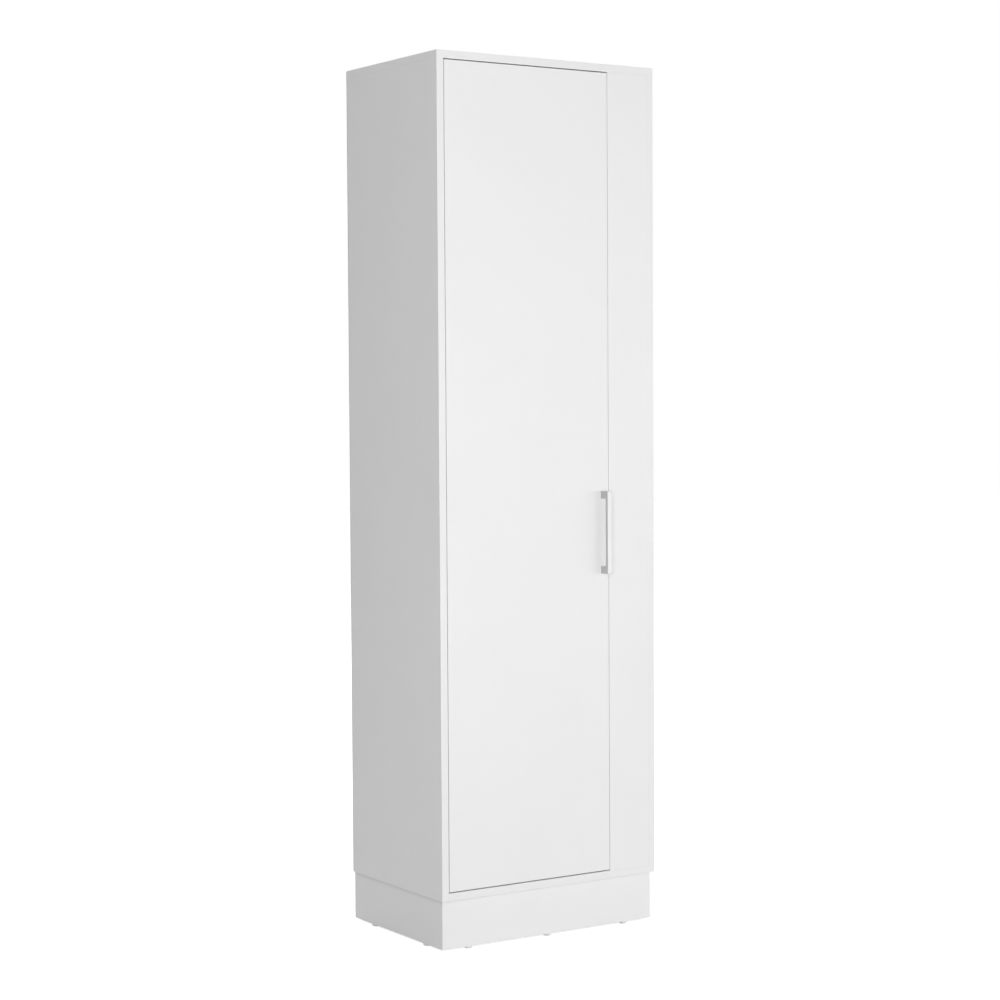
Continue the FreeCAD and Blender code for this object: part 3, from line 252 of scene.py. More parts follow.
def melamineBoard(setup, node, sawnBack, underOverhang):
    # sawnBack: the board's rear edge has no band; underOverhang: painted shade darkens it along its upper
    # edge
    low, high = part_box(node)
    across = min(range(3), key=lambda axis: high[axis] - low[axis])  # the axis through the board's thickness
    material, tree = newMaterial("melamine_" + node)
    place = addNode(tree, "ShaderNodeTexCoord")
    spot = place.outputs["Object"]
    nearest = nearestEdge(tree, spot, low, high, across)
    turned = addNode(tree, "ShaderNodeSeparateXYZ", {"Vector": place.outputs["Normal"]})
    flat = addNode(tree, "ShaderNodeMath", {0: turned.outputs[across]}, operation="ABSOLUTE")
    tilted, square = setup["faceTurn"]
    onFace = addNode(tree, "ShaderNodeMapRange", {
        "Value": flat.outputs[0], "From Min": tilted, "From Max": square})

    # faces and bands, slightly clouded, and the glue between them
    cloud = addNode(tree, "ShaderNodeTexNoise", {
        "Vector": spot, "Scale": perMetre(setup["cloudSize"]), "Detail": setup["cloudDetail"]})
    white = addNode(tree, "ShaderNodeMix", {
        "Factor": onFace.outputs[0], 6: hexColour(setup["band"]),
        7: hexColour(setup["face"])}, data_type="RGBA")
    toned = shaded(tree, white.outputs[2], cloud.outputs[0], setup["cloudShade"])
    joint = addNode(tree, "ShaderNodeMath", {
        0: nearest, 1: setup["bandThickness"] * mm, 2: setup["glueWidth"] * mm}, operation="COMPARE")
    seam = addNode(tree, "ShaderNodeMath", {0: joint.outputs[0], 1: onFace.outputs[0]}, operation="MULTIPLY")
    covered = addNode(tree, "ShaderNodeMix", {
        "Factor": seam.outputs[0], 6: toned, 7: hexColour(setup["glue"])}, data_type="RGBA").outputs[2]
    # painted shade along the upper edge of a board under the body's overhang
    if underOverhang:
        covered = paintedOverhangShade(tree, setup, spot, turned, high[2], covered)

    # handling polishes the board in patches along its edges
    rim = addNode(tree, "ShaderNodeMapRange", {
        "Value": nearest, "From Max": setup["wearWidth"] * mm, "To Min": 1.0, "To Max": 0.0})
    patches = addNode(tree, "ShaderNodeTexNoise", {
        "Vector": spot, "Scale": perMetre(setup["wearPatch"]), "Detail": setup["wearDetail"]})
    untouched, polished = setup["wearRange"]
    worn = addNode(tree, "ShaderNodeMapRange", {
        "Value": patches.outputs[0], "From Min": untouched, "From Max": polished,
        "To Max": setup["wearGloss"]})
    gloss = addNode(tree, "ShaderNodeMath", {0: rim.outputs[0], 1: worn.outputs[0]}, operation="MULTIPLY")
    matt = addNode(tree, "ShaderNodeMapRange", {
        "Value": onFace.outputs[0], "To Min": setup["bandRoughness"], "To Max": setup["faceRoughness"]})
    rough = addNode(tree, "ShaderNodeMath", {0: matt.outputs[0], 1: gloss.outputs[0]}, operation="SUBTRACT")
    pearl = addNode(tree, "ShaderNodeTexNoise", {
        "Vector": spot, "Scale": perMetre(setup["pearlGrain"]), "Detail": setup["pearlDetail"]})
    bump = addNode(tree, "ShaderNodeBump", {
        "Height": pearl.outputs[0], "Strength": setup["pearlStrength"], "Distance": setup["pearlDepth"] * mm})

    # bare chips in the holes, further in than the bands reach, and on the rear edge where it is sawn
    inside = addNode(tree, "ShaderNodeMath", {0: nearest, 1: 2 * setup["bandThickness"] * mm},
                     operation="GREATER_THAN")
    offFace = addNode(tree, "ShaderNodeMath", {0: 1.0, 1: onFace.outputs[0]}, operation="SUBTRACT")
    bare = addNode(tree, "ShaderNodeMath", {0: inside.outputs[0], 1: offFace.outputs[0]},
                   operation="MULTIPLY")
    if sawnBack:
        behind = addNode(tree, "ShaderNodeMath", {0: turned.outputs["Y"], 1: setup["rearTurn"]},
                         operation="GREATER_THAN")
        bare = addNode(tree, "ShaderNodeMath", {0: bare.outputs[0], 1: behind.outputs[0]},
                       operation="MAXIMUM")
    chips = addNode(tree, "ShaderNodeTexVoronoi", {"Vector": spot, "Scale": perMetre(setup["chipSize"])})
    pick = addNode(tree, "ShaderNodeSeparateColor", {"Color": chips.outputs["Color"]})
    wood = addNode(tree, "ShaderNodeMix", {
        "Factor": pick.outputs[0], 6: hexColour(setup["chipDark"]),
        7: hexColour(setup["chipPale"])}, data_type="RGBA")
    colour = addNode(tree, "ShaderNodeMix", {"Factor": bare.outputs[0], 6: covered, 7: wood.outputs[2]},
                     data_type="RGBA")
    dull = addNode(tree, "ShaderNodeMapRange", {
        "Value": bare.outputs[0], "To Min": rough.outputs[0], "To Max": setup["bareRoughness"]})
    height = addNode(tree, "ShaderNodeMath", {0: chips.outputs["Distance"], 1: bare.outputs[0]},
                     operation="MULTIPLY")
    normal = addNode(tree, "ShaderNodeBump", {
        "Height": height.outputs[0], "Normal": bump.outputs[0], "Strength": setup["chipStrength"],
        "Distance": setup["chipDepth"] * mm})
    finishMaterial(tree, {
        "Base Color": colour.outputs[2], "IOR": setup["ior"], "Roughness": dull.outputs[0],
        "Normal": normal.outputs[0]})
    return material


# Hardboard back. White lacquer on its front gives the eye a smooth satin white. Behind is bare brown pressed
# fibre, dull, with the print of the press's wire screen. The real screen's pitch is about 1.5 mm, and it is
# drawn at 3 mm, so that it shows. frontTurn says how squarely a surface looks to the front before it counts
# as lacquered.

hardboardSetup = {"lacquer": "E9E9E8", "fibre": "9C7850", "fibreDark": "7B5B3B", "lacquerRoughness": 0.4,
                  "fibreRoughness": 0.85, "ior": 1.5, "frontTurn": (-0.9, -0.5), "screenPitch": 3.0,
                  "screenDepth": 0.15, "screenStrength": 0.6, "fibreLength": 6.0, "fibreSquash": 3,
                  "fibreDetail": 6.0}
wavePeriod = math.pi / 10  # the length, in metres, after which a wave texture at Scale 1 repeats


def hardboardBack(setup):
    material, tree = newMaterial("lacqueredHardboard")
    place = addNode(tree, "ShaderNodeTexCoord")
    turned = addNode(tree, "ShaderNodeSeparateXYZ", {"Vector": place.outputs["Normal"]})
    square, tilted = setup["frontTurn"]
    behind = addNode(tree, "ShaderNodeMapRange", {
        "Value": turned.outputs["Y"], "From Min": square, "From Max": tilted})
    stretched = addNode(tree, "ShaderNodeMapping", {
        "Vector": place.outputs["Object"], "Scale": (1, 1, setup["fibreSquash"])})
    fibres = addNode(tree, "ShaderNodeTexNoise", {
        "Vector": stretched.outputs[0], "Detail": setup["fibreDetail"],
        "Scale": perMetre(setup["fibreLength"])})
    brown = addNode(tree, "ShaderNodeMix", {
        "Factor": fibres.outputs[0], 6: hexColour(setup["fibreDark"]),
        7: hexColour(setup["fibre"])}, data_type="RGBA")
    mixed = addNode(tree, "ShaderNodeMix", {
        "Factor": behind.outputs[0], 6: hexColour(setup["lacquer"]), 7: brown.outputs[2]}, data_type="RGBA")
    waves = [addNode(tree, "ShaderNodeTexWave", {
        "Vector": place.outputs["Object"],
        "Scale": wavePeriod * perMetre(setup["screenPitch"])}, bands_direction=axis) for axis in "XZ"]
    screen = addNode(tree, "ShaderNodeMath", {0: waves[0].outputs[0], 1: waves[1].outputs[0]},
                     operation="MULTIPLY")
    height = addNode(tree, "ShaderNodeMath", {0: screen.outputs[0], 1: behind.outputs[0]},
                     operation="MULTIPLY")
    bump = addNode(tree, "ShaderNodeBump", {
        "Height": height.outputs[0], "Strength": setup["screenStrength"],
        "Distance": setup["screenDepth"] * mm})
    rough = addNode(tree, "ShaderNodeMapRange", {
        "Value": behind.outputs[0], "To Min": setup["lacquerRoughness"], "To Max": setup["fibreRoughness"]})
    finishMaterial(tree, {
        "Base Color": mixed.outputs[2], "IOR": setup["ior"], "Roughness": rough.outputs[0],
        "Normal": bump.outputs[0]})
    return material


# Metals, each under the slot of the record that it belongs to. Sizes are in mm: grain is the size of the
# pattern, stretch squeezes it along each axis, and wander is how far the roughness strays to each side.

metalSetup = {
    # brushed, then anodised: the clear oxide spreads the highlight into a soft grey sheen that runs along the
    # bar. The brush lines are about 0.1 mm apart, and are drawn at 0.5 mm, so that they show.
    "satin_aluminium": {"name": "satinAnodisedAluminium", "colour": "C4C4C4", "roughness": 0.62,
                        "wander": 0.05, "grain": 0.5, "stretch": (1, 1, 0.02), "depth": 0.01, "polish": 0.12},
    # electroplated and clear passivated: bright, with a cool cast and the faint unevenness of the bath
    "zinc_plated_steel": {"name": "brightZincPlate", "colour": "C9CCD0", "roughness": 0.3, "wander": 0.06,
                          "grain": 0.8, "stretch": (1, 1, 1), "depth": 0.01, "polish": 0.08},
    # nickel over pressed steel: a warm mirror, slightly rippled by the press
    "nickelled_steel": {"name": "nickelPlatedSteel", "colour": "CDCAC4", "roughness": 0.2, "wander": 0.04,
                        "grain": 1.5, "stretch": (1, 1, 1), "depth": 0.005, "polish": 0.05},
    # cast and left as it comes from the die: dull grey, with a pocked skin
    "zinc_die_cast": {"name": "dieCastZinc", "colour": "A9AAAC", "roughness": 0.5, "wander": 0.08,
                      "grain": 0.6, "stretch": (1, 1, 1), "depth": 0.03, "polish": 0.1},
    # pressed and fired ferrite: nearly black, with a sandy break. The grain is drawn at twice its size.
    "ferrite": {"name": "sinteredFerrite", "colour": "3A3B3E", "roughness": 0.7, "wander": 0.08,
                "grain": 0.4, "stretch": (1, 1, 1), "depth": 0.03, "polish": 0.1}}
metalGrain = {"detail": 4.0, "shade": 0.96, "strength": 0.4}  # strength: how boldly it shows as relief

# how far from an edge, in mm, handling has polished a metal or a plastic, and how well the rounded normal
# agrees with the plain one where the polish starts and where it is full

edgeWear = {"radius": 0.6, "samples": 4, "starts": 0.98, "full": 0.85}


def edgePolish(tree, rough, polish):
    # lowers the roughness near edges, which are found where a rounded normal leaves the plain one
    rounded = addNode(tree, "ShaderNodeBevel", {"Radius": edgeWear["radius"] * mm},
                      samples=edgeWear["samples"])
    plain = addNode(tree, "ShaderNodeNewGeometry")
    agree = addNode(tree, "ShaderNodeVectorMath", {0: rounded.outputs[0], 1: plain.outputs["Normal"]},
                    operation="DOT_PRODUCT")
    gloss = addNode(tree, "ShaderNodeMapRange", {
        "Value": agree.outputs["Value"], "From Min": edgeWear["starts"], "From Max": edgeWear["full"],
        "To Max": polish})
    return addNode(tree, "ShaderNodeMath", {0: rough, 1: gloss.outputs[0]}, operation="SUBTRACT").outputs[0]


def metalFinish(setup, pattern):
    material, tree = newMaterial(setup["name"])
    place = addNode(tree, "ShaderNodeTexCoord")
    drawn = addNode(tree, "ShaderNodeMapping", {"Vector": place.outputs["Object"], "Scale": setup["stretch"]})
    lines = addNode(tree, "ShaderNodeTexNoise", {
        "Vector": drawn.outputs[0], "Detail": pattern["detail"], "Scale": perMetre(setup["grain"])})
    rough = addNode(tree, "ShaderNodeMapRange", {
        "Value": lines.outputs[0], "From Min": noiseLow, "From Max": noiseHigh,
        "To Min": setup["roughness"] - setup["wander"], "To Max": setup["roughness"] + setup["wander"]})
    base = shaded(tree, hexColour(setup["colour"])[:3], lines.outputs[0], pattern["shade"])
    bump = addNode(tree, "ShaderNodeBump", {
        "Height": lines.outputs[0], "Strength": pattern["strength"], "Distance": setup["depth"] * mm})
    worn = edgePolish(tree, rough.outputs[0], setup["polish"])
    finishMaterial(tree, {"Base Color": base, "Metallic": 1.0, "Roughness": worn, "Normal": bump.outputs[0]})
    return material


# Moulded plastic: the mould's spark-eroded walls leave a fine grain, which gives the eye a soft matt without
# a sharp highlight. The grain is about 0.1 mm and is drawn at 0.6 mm, so that it shows.

plasticSetup = {
    "white_plastic": {"name": "mouldedWhitePlastic", "colour": "E4E4E2", "roughness": 0.42, "polish": 0.1},
    "grey_plastic": {"name": "mouldedGreyPlastic", "colour": "8D9092", "roughness": 0.45, "polish": 0.1}}
mouldGrain = {"size": 0.6, "detail": 3.0, "depth": 0.05, "strength": 0.5, "shade": 0.97, "ior": 1.46}


def mouldedPlastic(setup, pattern):
    material, tree = newMaterial(setup["name"])
    place = addNode(tree, "ShaderNodeTexCoord")
    grains = addNode(tree, "ShaderNodeTexNoise", {
        "Vector": place.outputs["Object"], "Detail": pattern["detail"], "Scale": perMetre(pattern["size"])})
    base = shaded(tree, hexColour(setup["colour"])[:3], grains.outputs[0], pattern["shade"])
    bump = addNode(tree, "ShaderNodeBump", {
        "Height": grains.outputs[0], "Strength": pattern["strength"], "Distance": pattern["depth"] * mm})
    worn = edgePolish(tree, setup["roughness"], setup["polish"])
    finishMaterial(tree, {
        "Base Color": base, "IOR": pattern["ior"], "Roughness": worn, "Normal": bump.outputs[0]})
    return material


# Turned beech: pale pink-brown and dull, with fine flecks, which are drawn at about twice their size.

beechSetup = {"dark": "B98F62", "pale": "D9B88C", "fleck": 1.5, "detail": 5.0, "depth": 0.05, "strength": 0.5,
              "roughness": 0.7}


def beechWood(setup):
    material, tree = newMaterial("turnedBeech")
    place = addNode(tree, "ShaderNodeTexCoord")
    flecks = addNode(tree, "ShaderNodeTexNoise", {
        "Vector": place.outputs["Object"], "Detail": setup["detail"], "Scale": perMetre(setup["fleck"])})
    wood = addNode(tree, "ShaderNodeMix", {
        "Factor": flecks.outputs[0], 6: hexColour(setup["dark"]),
        7: hexColour(setup["pale"])}, data_type="RGBA")
    bump = addNode(tree, "ShaderNodeBump", {
        "Height": flecks.outputs[0], "Strength": setup["strength"], "Distance": setup["depth"] * mm})
    finishMaterial(tree, {
        "Base Color": wood.outputs[2], "Roughness": setup["roughness"], "Normal": bump.outputs[0]})
    return material


materialFor = {"white_hardboard": hardboardBack(hardboardSetup), "beech": beechWood(beechSetup)}
materialFor.update({slot: metalFinish(setup, metalGrain) for slot, setup in metalSetup.items()})
materialFor.update({slot: mouldedPlastic(setup, mouldGrain) for slot, setup in plasticSetup.items()})

bandedAllRound = ("door_panel", "fixed_front_panel", "plinth_front", "plinth_back", "broom_rail")
# plinthBoards: the boards under the body's overhang, which get painted shade along their upper edge
plinthBoards = ("plinth_front", "plinth_back", "plinth_left", "plinth_right")
for node, held in cadNodes.items():
    if slotOf[node] == "white_melamine":
        chosen = melamineBoard(melamineSetup, node, node not in bandedAllRound, node in plinthBoards)
    else:
        chosen = materialFor[slotOf[node]]
    held.data.materials.clear()
    held.data.materials.append(chosen)
print("materials made and given to the frame's nodes")


# Sharp parts of the frame are remade from their own solids, with soft edges. Sizes are in mm and angles in
# degrees: corners within mergeGap are one, faces that meet at less than flatAngle are one, edges that turn
# by more than sharpAngle are softened, and those that turn by less than smoothAngle are shaded smooth, with
# large faces weighing most.

edgeSetup = {"mergeGap": 0.002, "flatAngle": 0.3, "sharpAngle": 40, "segments": 2, "smoothAngle": 32,
             "faceWeight": 80}


def mergedMesh(node):
    # the node's loose triangles joined into clean flat faces
    shape = bmesh.new()
    shape.from_mesh(cadNodes[node].data)
    bmesh.ops.remove_doubles(shape, verts=shape.verts, dist=edgeSetup["mergeGap"] * mm)
    bmesh.ops.dissolve_limit(shape, angle_limit=math.radians(edgeSetup["flatAngle"]), verts=shape.verts,
                             edges=shape.edges)
    return shape


def plainCopy(source):
    # the evaluated object as a plain mesh in a new object
    name = source.name
    mesh = bpy.data.meshes.new_from_object(source.evaluated_get(bpy.context.evaluated_depsgraph_get()))
    mesh.name = name
    bpy.data.objects.remove(source)
    return inScene(bpy.data.objects.new(name, mesh))


def smoothed(piece):
    # smooth over soft edges, with the large flat faces kept flat
    piece.data.polygons.foreach_set("use_smooth", [True] * len(piece.data.polygons))
    piece.data.set_sharp_from_angle(angle=math.radians(edgeSetup["smoothAngle"]))
    flatFaces = piece.modifiers.new("flatFaces", "WEIGHTED_NORMAL")
    flatFaces.weight = edgeSetup["faceWeight"]
    flatFaces.keep_sharp = True
    return plainCopy(piece)


def standIn(piece, node):
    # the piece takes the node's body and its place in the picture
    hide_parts(node)
    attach(piece, bodyOf[node])


def softened(name, node, width):
    shape = mergedMesh(node)
    mesh = bpy.data.meshes.new(name)
    shape.to_mesh(mesh)
    shape.free()
    mesh.materials.append(cadNodes[node].data.materials[0])
    piece = inScene(bpy.data.objects.new(name, mesh))
    bevel = piece.modifiers.new("softEdges", "BEVEL")
    bevel.width = width * mm
    bevel.segments = edgeSetup["segments"]
    bevel.limit_method = "ANGLE"
    bevel.angle_limit = math.radians(edgeSetup["sharpAngle"])
    bevel.use_clamp_overlap = True
    standIn(smoothed(plainCopy(piece)), node)


# Screws, nails and dowels: each stands where its own solid stands in the frame, at the sizes of the first
# solid of its set, and is turned at random about its length, as screws are when they are driven home.

endShare = 0.99  # corners beyond this share of a solid's half length are on its end
radiusSlack = 0.01  # mm


def looseSolids(shape):
    # the corners of each separate solid of a mesh
    left = set(shape.verts)
    while left:
        reached = [left.pop()]
        corners = []
        while reached:
            corner = reached.pop()
            corners.append(corner.co.copy())
            for edge in corner.link_edges:
                other = edge.other_vert(corner)
                if other in left:
                    left.remove(other)
                    reached.append(other)
        yield corners


def measured(corners):
    # the place under a turned solid's head, the way its head looks, and its sizes
    low = Vector([min(corner[axis] for corner in corners) for axis in range(3)])
    high = Vector([max(corner[axis] for corner in corners) for axis in range(3)])
    centre = (low + high) / 2
    along = max(range(3), key=lambda axis: high[axis] - low[axis])
    direction = Vector([float(axis == along) for axis in range(3)])
    rings = [((corner - centre).dot(direction), (corner - centre).cross(direction).length)
             for corner in corners]
    reach = (high[along] - low[along]) / 2
    front = max(radius for height, radius in rings if height > reach * endShare)
    rear = max(radius for height, radius in rings if height < -reach * endShare)
    if front < rear:
        direction = -direction
        rings = [(-height, radius) for height, radius in rings]
    widest = max(radius for height, radius in rings)
    narrow = min(front, rear)
    wide = (widest + narrow) / 2 - radiusSlack * mm
    seat = min(height for height, radius in rings if radius > wide)
    return {"place": centre + direction * seat, "direction": direction, "Head Radius": widest,
            "Head Height": reach - seat, "Shank Radius": narrow, "Shank Length": reach + seat}


def turnedSolids(node):
    shape = mergedMesh(node)
    solids = [measured(corners) for corners in looseSolids(shape)]
    shape.free()
    return sorted(solids, key=lambda solid: [round(value / mm) for value in solid["place"]])


def newTree(name, sizes):
    # an empty tree with points, named sizes, a seed and a material going in
    tree = bpy.data.node_groups.new(name, "GeometryNodeTree")
    sockets = [("Points", "Geometry")] + [(size, "Float") for size in sizes]
    for socket, kind in sockets + [("Seed", "Int"), ("Material", "Material")]:
        tree.interface.new_socket(socket, in_out="INPUT", socket_type="NodeSocket" + kind)
    tree.interface.new_socket("Hardware", in_out="OUTPUT", socket_type="NodeSocketGeometry")
    return tree, addNode(tree, "NodeGroupInput").outputs


def standOnPoints(tree, given, shape):
    # one copy on each point, its Z axis along the point's direction, spun about it at random
    aim = addNode(tree, "GeometryNodeInputNamedAttribute", {"Name": "direction"}, data_type="FLOAT_VECTOR")
    aimed = addNode(tree, "FunctionNodeAlignRotationToVector", {"Vector": aim.outputs[0]}, axis="Z")
    angle = addNode(tree, "FunctionNodeRandomValue", {2: 0.0, 3: 2 * math.pi, "Seed": given["Seed"]},
                    data_type="FLOAT")
    spin = addNode(tree, "FunctionNodeAxisAngleToRotation", {"Axis": (0, 0, 1), "Angle": angle.outputs[1]})
    turned = addNode(tree, "FunctionNodeRotateRotation", {
        "Rotation": aimed.outputs[0], "Rotate By": spin.outputs[0]}, rotation_space="LOCAL")
    placed = addNode(tree, "GeometryNodeInstanceOnPoints", {
        "Points": given["Points"], "Instance": shape, "Rotation": turned.outputs[0]})
    whole = addNode(tree, "GeometryNodeRealizeInstances", {"Geometry": placed.outputs[0]})
    coated = addNode(tree, "GeometryNodeSetMaterial", {
        "Geometry": whole.outputs[0], "Material": given["Material"]})
    addNode(tree, "NodeGroupOutput", {0: coated.outputs[0]})


# Sides, rings, steps and corners say how finely a screw or a nail is divided. threadSection is the radius of
# the thread's section as a share of the thread's depth. The recess is cut by a piece recessReach times as
# tall as it is deep, and recessTop and recessFoot are how far that piece reaches to each side at its top and
# at its foot, as shares of the recess's span.

screwShape = {"headSides": 28, "headRings": 4, "shankSides": 16, "threadSteps": 14, "threadCorners": 3,
              "threadSection": 0.72, "recessTop": 0.5, "recessFoot": 0.3, "recessReach": 1.25}


def domedHead(tree, given):
    # a disc on the point's level, whose top falls away from its middle as the square of the radius
    disc = addNode(tree, "GeometryNodeMeshCylinder", {
        "Vertices": screwShape["headSides"], "Side Segments": 1, "Fill Segments": screwShape["headRings"],
        "Radius": given["Head Radius"], "Depth": given["Head Height"]})
    middle = addNode(tree, "ShaderNodeMath", {0: given["Head Height"], 1: 0.5}, operation="MULTIPLY")
    up = addNode(tree, "ShaderNodeCombineXYZ", {"Z": middle.outputs[0]})
    seated = addNode(tree, "GeometryNodeTransform", {
        "Geometry": disc.outputs["Mesh"], "Translation": up.outputs[0]})
    spot = addNode(tree, "GeometryNodeInputPosition")
    parts = addNode(tree, "ShaderNodeSeparateXYZ", {"Vector": spot.outputs[0]})
    flat = addNode(tree, "ShaderNodeCombineXYZ", {"X": parts.outputs[0], "Y": parts.outputs[1]})
    outward = addNode(tree, "ShaderNodeVectorMath", {0: flat.outputs[0]}, operation="LENGTH")
    share = addNode(tree, "ShaderNodeMath", {0: outward.outputs["Value"], 1: given["Head Radius"]},
                    operation="DIVIDE")
    square = addNode(tree, "ShaderNodeMath", {0: share.outputs[0], 1: 2.0}, operation="POWER")
    fall = addNode(tree, "ShaderNodeMath", {0: square.outputs[0], 1: given["Dome"]}, operation="MULTIPLY")
    drop = addNode(tree, "ShaderNodeMath", {0: fall.outputs[0], 1: -1.0}, operation="MULTIPLY")
    down = addNode(tree, "ShaderNodeCombineXYZ", {"Z": drop.outputs[0]})
    onTop = addNode(tree, "FunctionNodeCompare", {0: parts.outputs[2], 1: middle.outputs[0]},
                    data_type="FLOAT", operation="GREATER_THAN")
    domed = addNode(tree, "GeometryNodeSetPosition", {
        "Geometry": seated.outputs[0], "Selection": onTop.outputs[0], "Offset": down.outputs[0]})
    return domed.outputs[0]


def crossRecess(tree, given, head):
    # two crossed bars, tapering downwards, are cut out of the head
    bar = addNode(tree, "GeometryNodeMeshCone", {
        "Vertices": 4, "Side Segments": 1, "Fill Segments": 1,
        "Radius Top": screwShape["recessTop"] * math.sqrt(2),
        "Radius Bottom": screwShape["recessFoot"] * math.sqrt(2), "Depth": 1.0})
    squared = addNode(tree, "GeometryNodeTransform", {
        "Geometry": bar.outputs["Mesh"], "Rotation": (0, 0, math.radians(45))})
    tall = addNode(tree, "ShaderNodeMath", {0: given["Recess Depth"], 1: screwShape["recessReach"]},
                   operation="MULTIPLY")
    size = addNode(tree, "ShaderNodeCombineXYZ", {
        "X": given["Recess Span"], "Y": given["Recess Width"], "Z": tall.outputs[0]})
    floor = addNode(tree, "ShaderNodeMath", {0: given["Head Height"], 1: given["Recess Depth"]},
                    operation="SUBTRACT")
    level = addNode(tree, "ShaderNodeCombineXYZ", {"Z": floor.outputs[0]})
    first = addNode(tree, "GeometryNodeTransform", {
        "Geometry": squared.outputs[0], "Translation": level.outputs[0], "Scale": size.outputs[0]})
    second = addNode(tree, "GeometryNodeTransform", {
        "Geometry": first.outputs[0], "Rotation": (0, 0, math.radians(90))})
    cut = addNode(tree, "GeometryNodeMeshBoolean", {
        "Mesh 1": head,
        "Mesh 2": [first.outputs[0], second.outputs[0]]}, operation="DIFFERENCE", solver="EXACT")
    return cut.outputs[0]


def pointedShank(tree, given, core, straight):
    # a rod that hangs from the point's level, and the point below it
    half = addNode(tree, "ShaderNodeMath", {0: straight, 1: -0.5}, operation="MULTIPLY")
    below = addNode(tree, "ShaderNodeCombineXYZ", {"Z": half.outputs[0]})
    rod = addNode(tree, "GeometryNodeMeshCylinder", {
        "Vertices": screwShape["shankSides"], "Side Segments": 1, "Fill Segments": 1, "Radius": core,
        "Depth": straight})
    shank = addNode(tree, "GeometryNodeTransform", {
        "Geometry": rod.outputs["Mesh"], "Translation": below.outputs[0]})
    cone = addNode(tree, "GeometryNodeMeshCone", {
        "Vertices": screwShape["shankSides"], "Side Segments": 1, "Fill Segments": 1, "Radius Top": core,
        "Radius Bottom": 0.0, "Depth": given["Tip"]})
    foot = addNode(tree, "ShaderNodeMath", {0: given["Shank Length"], 1: -1.0}, operation="MULTIPLY")
    lowest = addNode(tree, "ShaderNodeCombineXYZ", {"Z": foot.outputs[0]})
    tip = addNode(tree, "GeometryNodeTransform", {
        "Geometry": cone.outputs["Mesh"], "Translation": lowest.outputs[0]})
    return [shank.outputs[0], tip.outputs[0]]


def spiralThread(tree, given, straight):
    # a three-cornered section swept along a spiral, its crest at the shank's radius
    section = addNode(tree, "ShaderNodeMath", {0: given["Thread Depth"], 1: screwShape["threadSection"]},
                      operation="MULTIPLY")
    middleLine = addNode(tree, "ShaderNodeMath", {0: given["Shank Radius"], 1: section.outputs[0]},
                         operation="SUBTRACT")
    turns = addNode(tree, "ShaderNodeMath", {0: straight, 1: given["Pitch"]}, operation="DIVIDE")
    rise = addNode(tree, "ShaderNodeMath", {0: straight, 1: given["Pitch"]}, operation="SUBTRACT")
    spiral = addNode(tree, "GeometryNodeCurveSpiral", {
        "Resolution": screwShape["threadSteps"], "Rotations": turns.outputs[0],
        "Start Radius": middleLine.outputs[0], "End Radius": middleLine.outputs[0],
        "Height": rise.outputs[0]})
    upright = addNode(tree, "GeometryNodeSetCurveNormal", {"Curve": spiral.outputs[0]}, mode="Z_UP")
    corners = addNode(tree, "GeometryNodeCurvePrimitiveCircle", {
        "Resolution": screwShape["threadCorners"], "Radius": section.outputs[0]}, mode="RADIUS")
    swept = addNode(tree, "GeometryNodeCurveToMesh", {
        "Curve": upright.outputs[0], "Profile Curve": corners.outputs[0], "Fill Caps": True})
    start = addNode(tree, "ShaderNodeMath", {0: given["Pitch"], 1: 0.5}, operation="MULTIPLY")
    lift = addNode(tree, "ShaderNodeMath", {0: start.outputs[0], 1: straight}, operation="SUBTRACT")
    base = addNode(tree, "ShaderNodeCombineXYZ", {"Z": lift.outputs[0]})
    return addNode(tree, "GeometryNodeTransform", {
        "Geometry": swept.outputs[0], "Translation": base.outputs[0]}).outputs[0]


def drivenTree(name, isScrew):
    # a screw or a nail, its head above the point's level and its shank below
    sizes = ["Head Radius", "Head Height", "Shank Radius", "Shank Length", "Dome", "Tip"]
    if isScrew:
        sizes += ["Pitch", "Thread Depth", "Recess Span", "Recess Width", "Recess Depth"]
    tree, given = newTree(name, sizes)
    head = domedHead(tree, given)
    core = given["Shank Radius"]
    if isScrew:
        head = crossRecess(tree, given, head)
        core = addNode(tree, "ShaderNodeMath", {0: core, 1: given["Thread Depth"]},
                       operation="SUBTRACT").outputs[0]
    straight = addNode(tree, "ShaderNodeMath", {0: given["Shank Length"], 1: given["Tip"]},
                       operation="SUBTRACT").outputs[0]
    made = [head] + pointedShank(tree, given, core, straight)
    if isScrew:
        made.append(spiralThread(tree, given, straight))
    whole = addNode(tree, "GeometryNodeJoinGeometry", {"Geometry": made})
    standOnPoints(tree, given, whole.outputs[0])
    return tree


# segments are along the dowel; corners beyond endShare of its half length are on its chamfered ends

dowelShape = {"flutes": 20, "segments": 3, "endShare": 0.7}


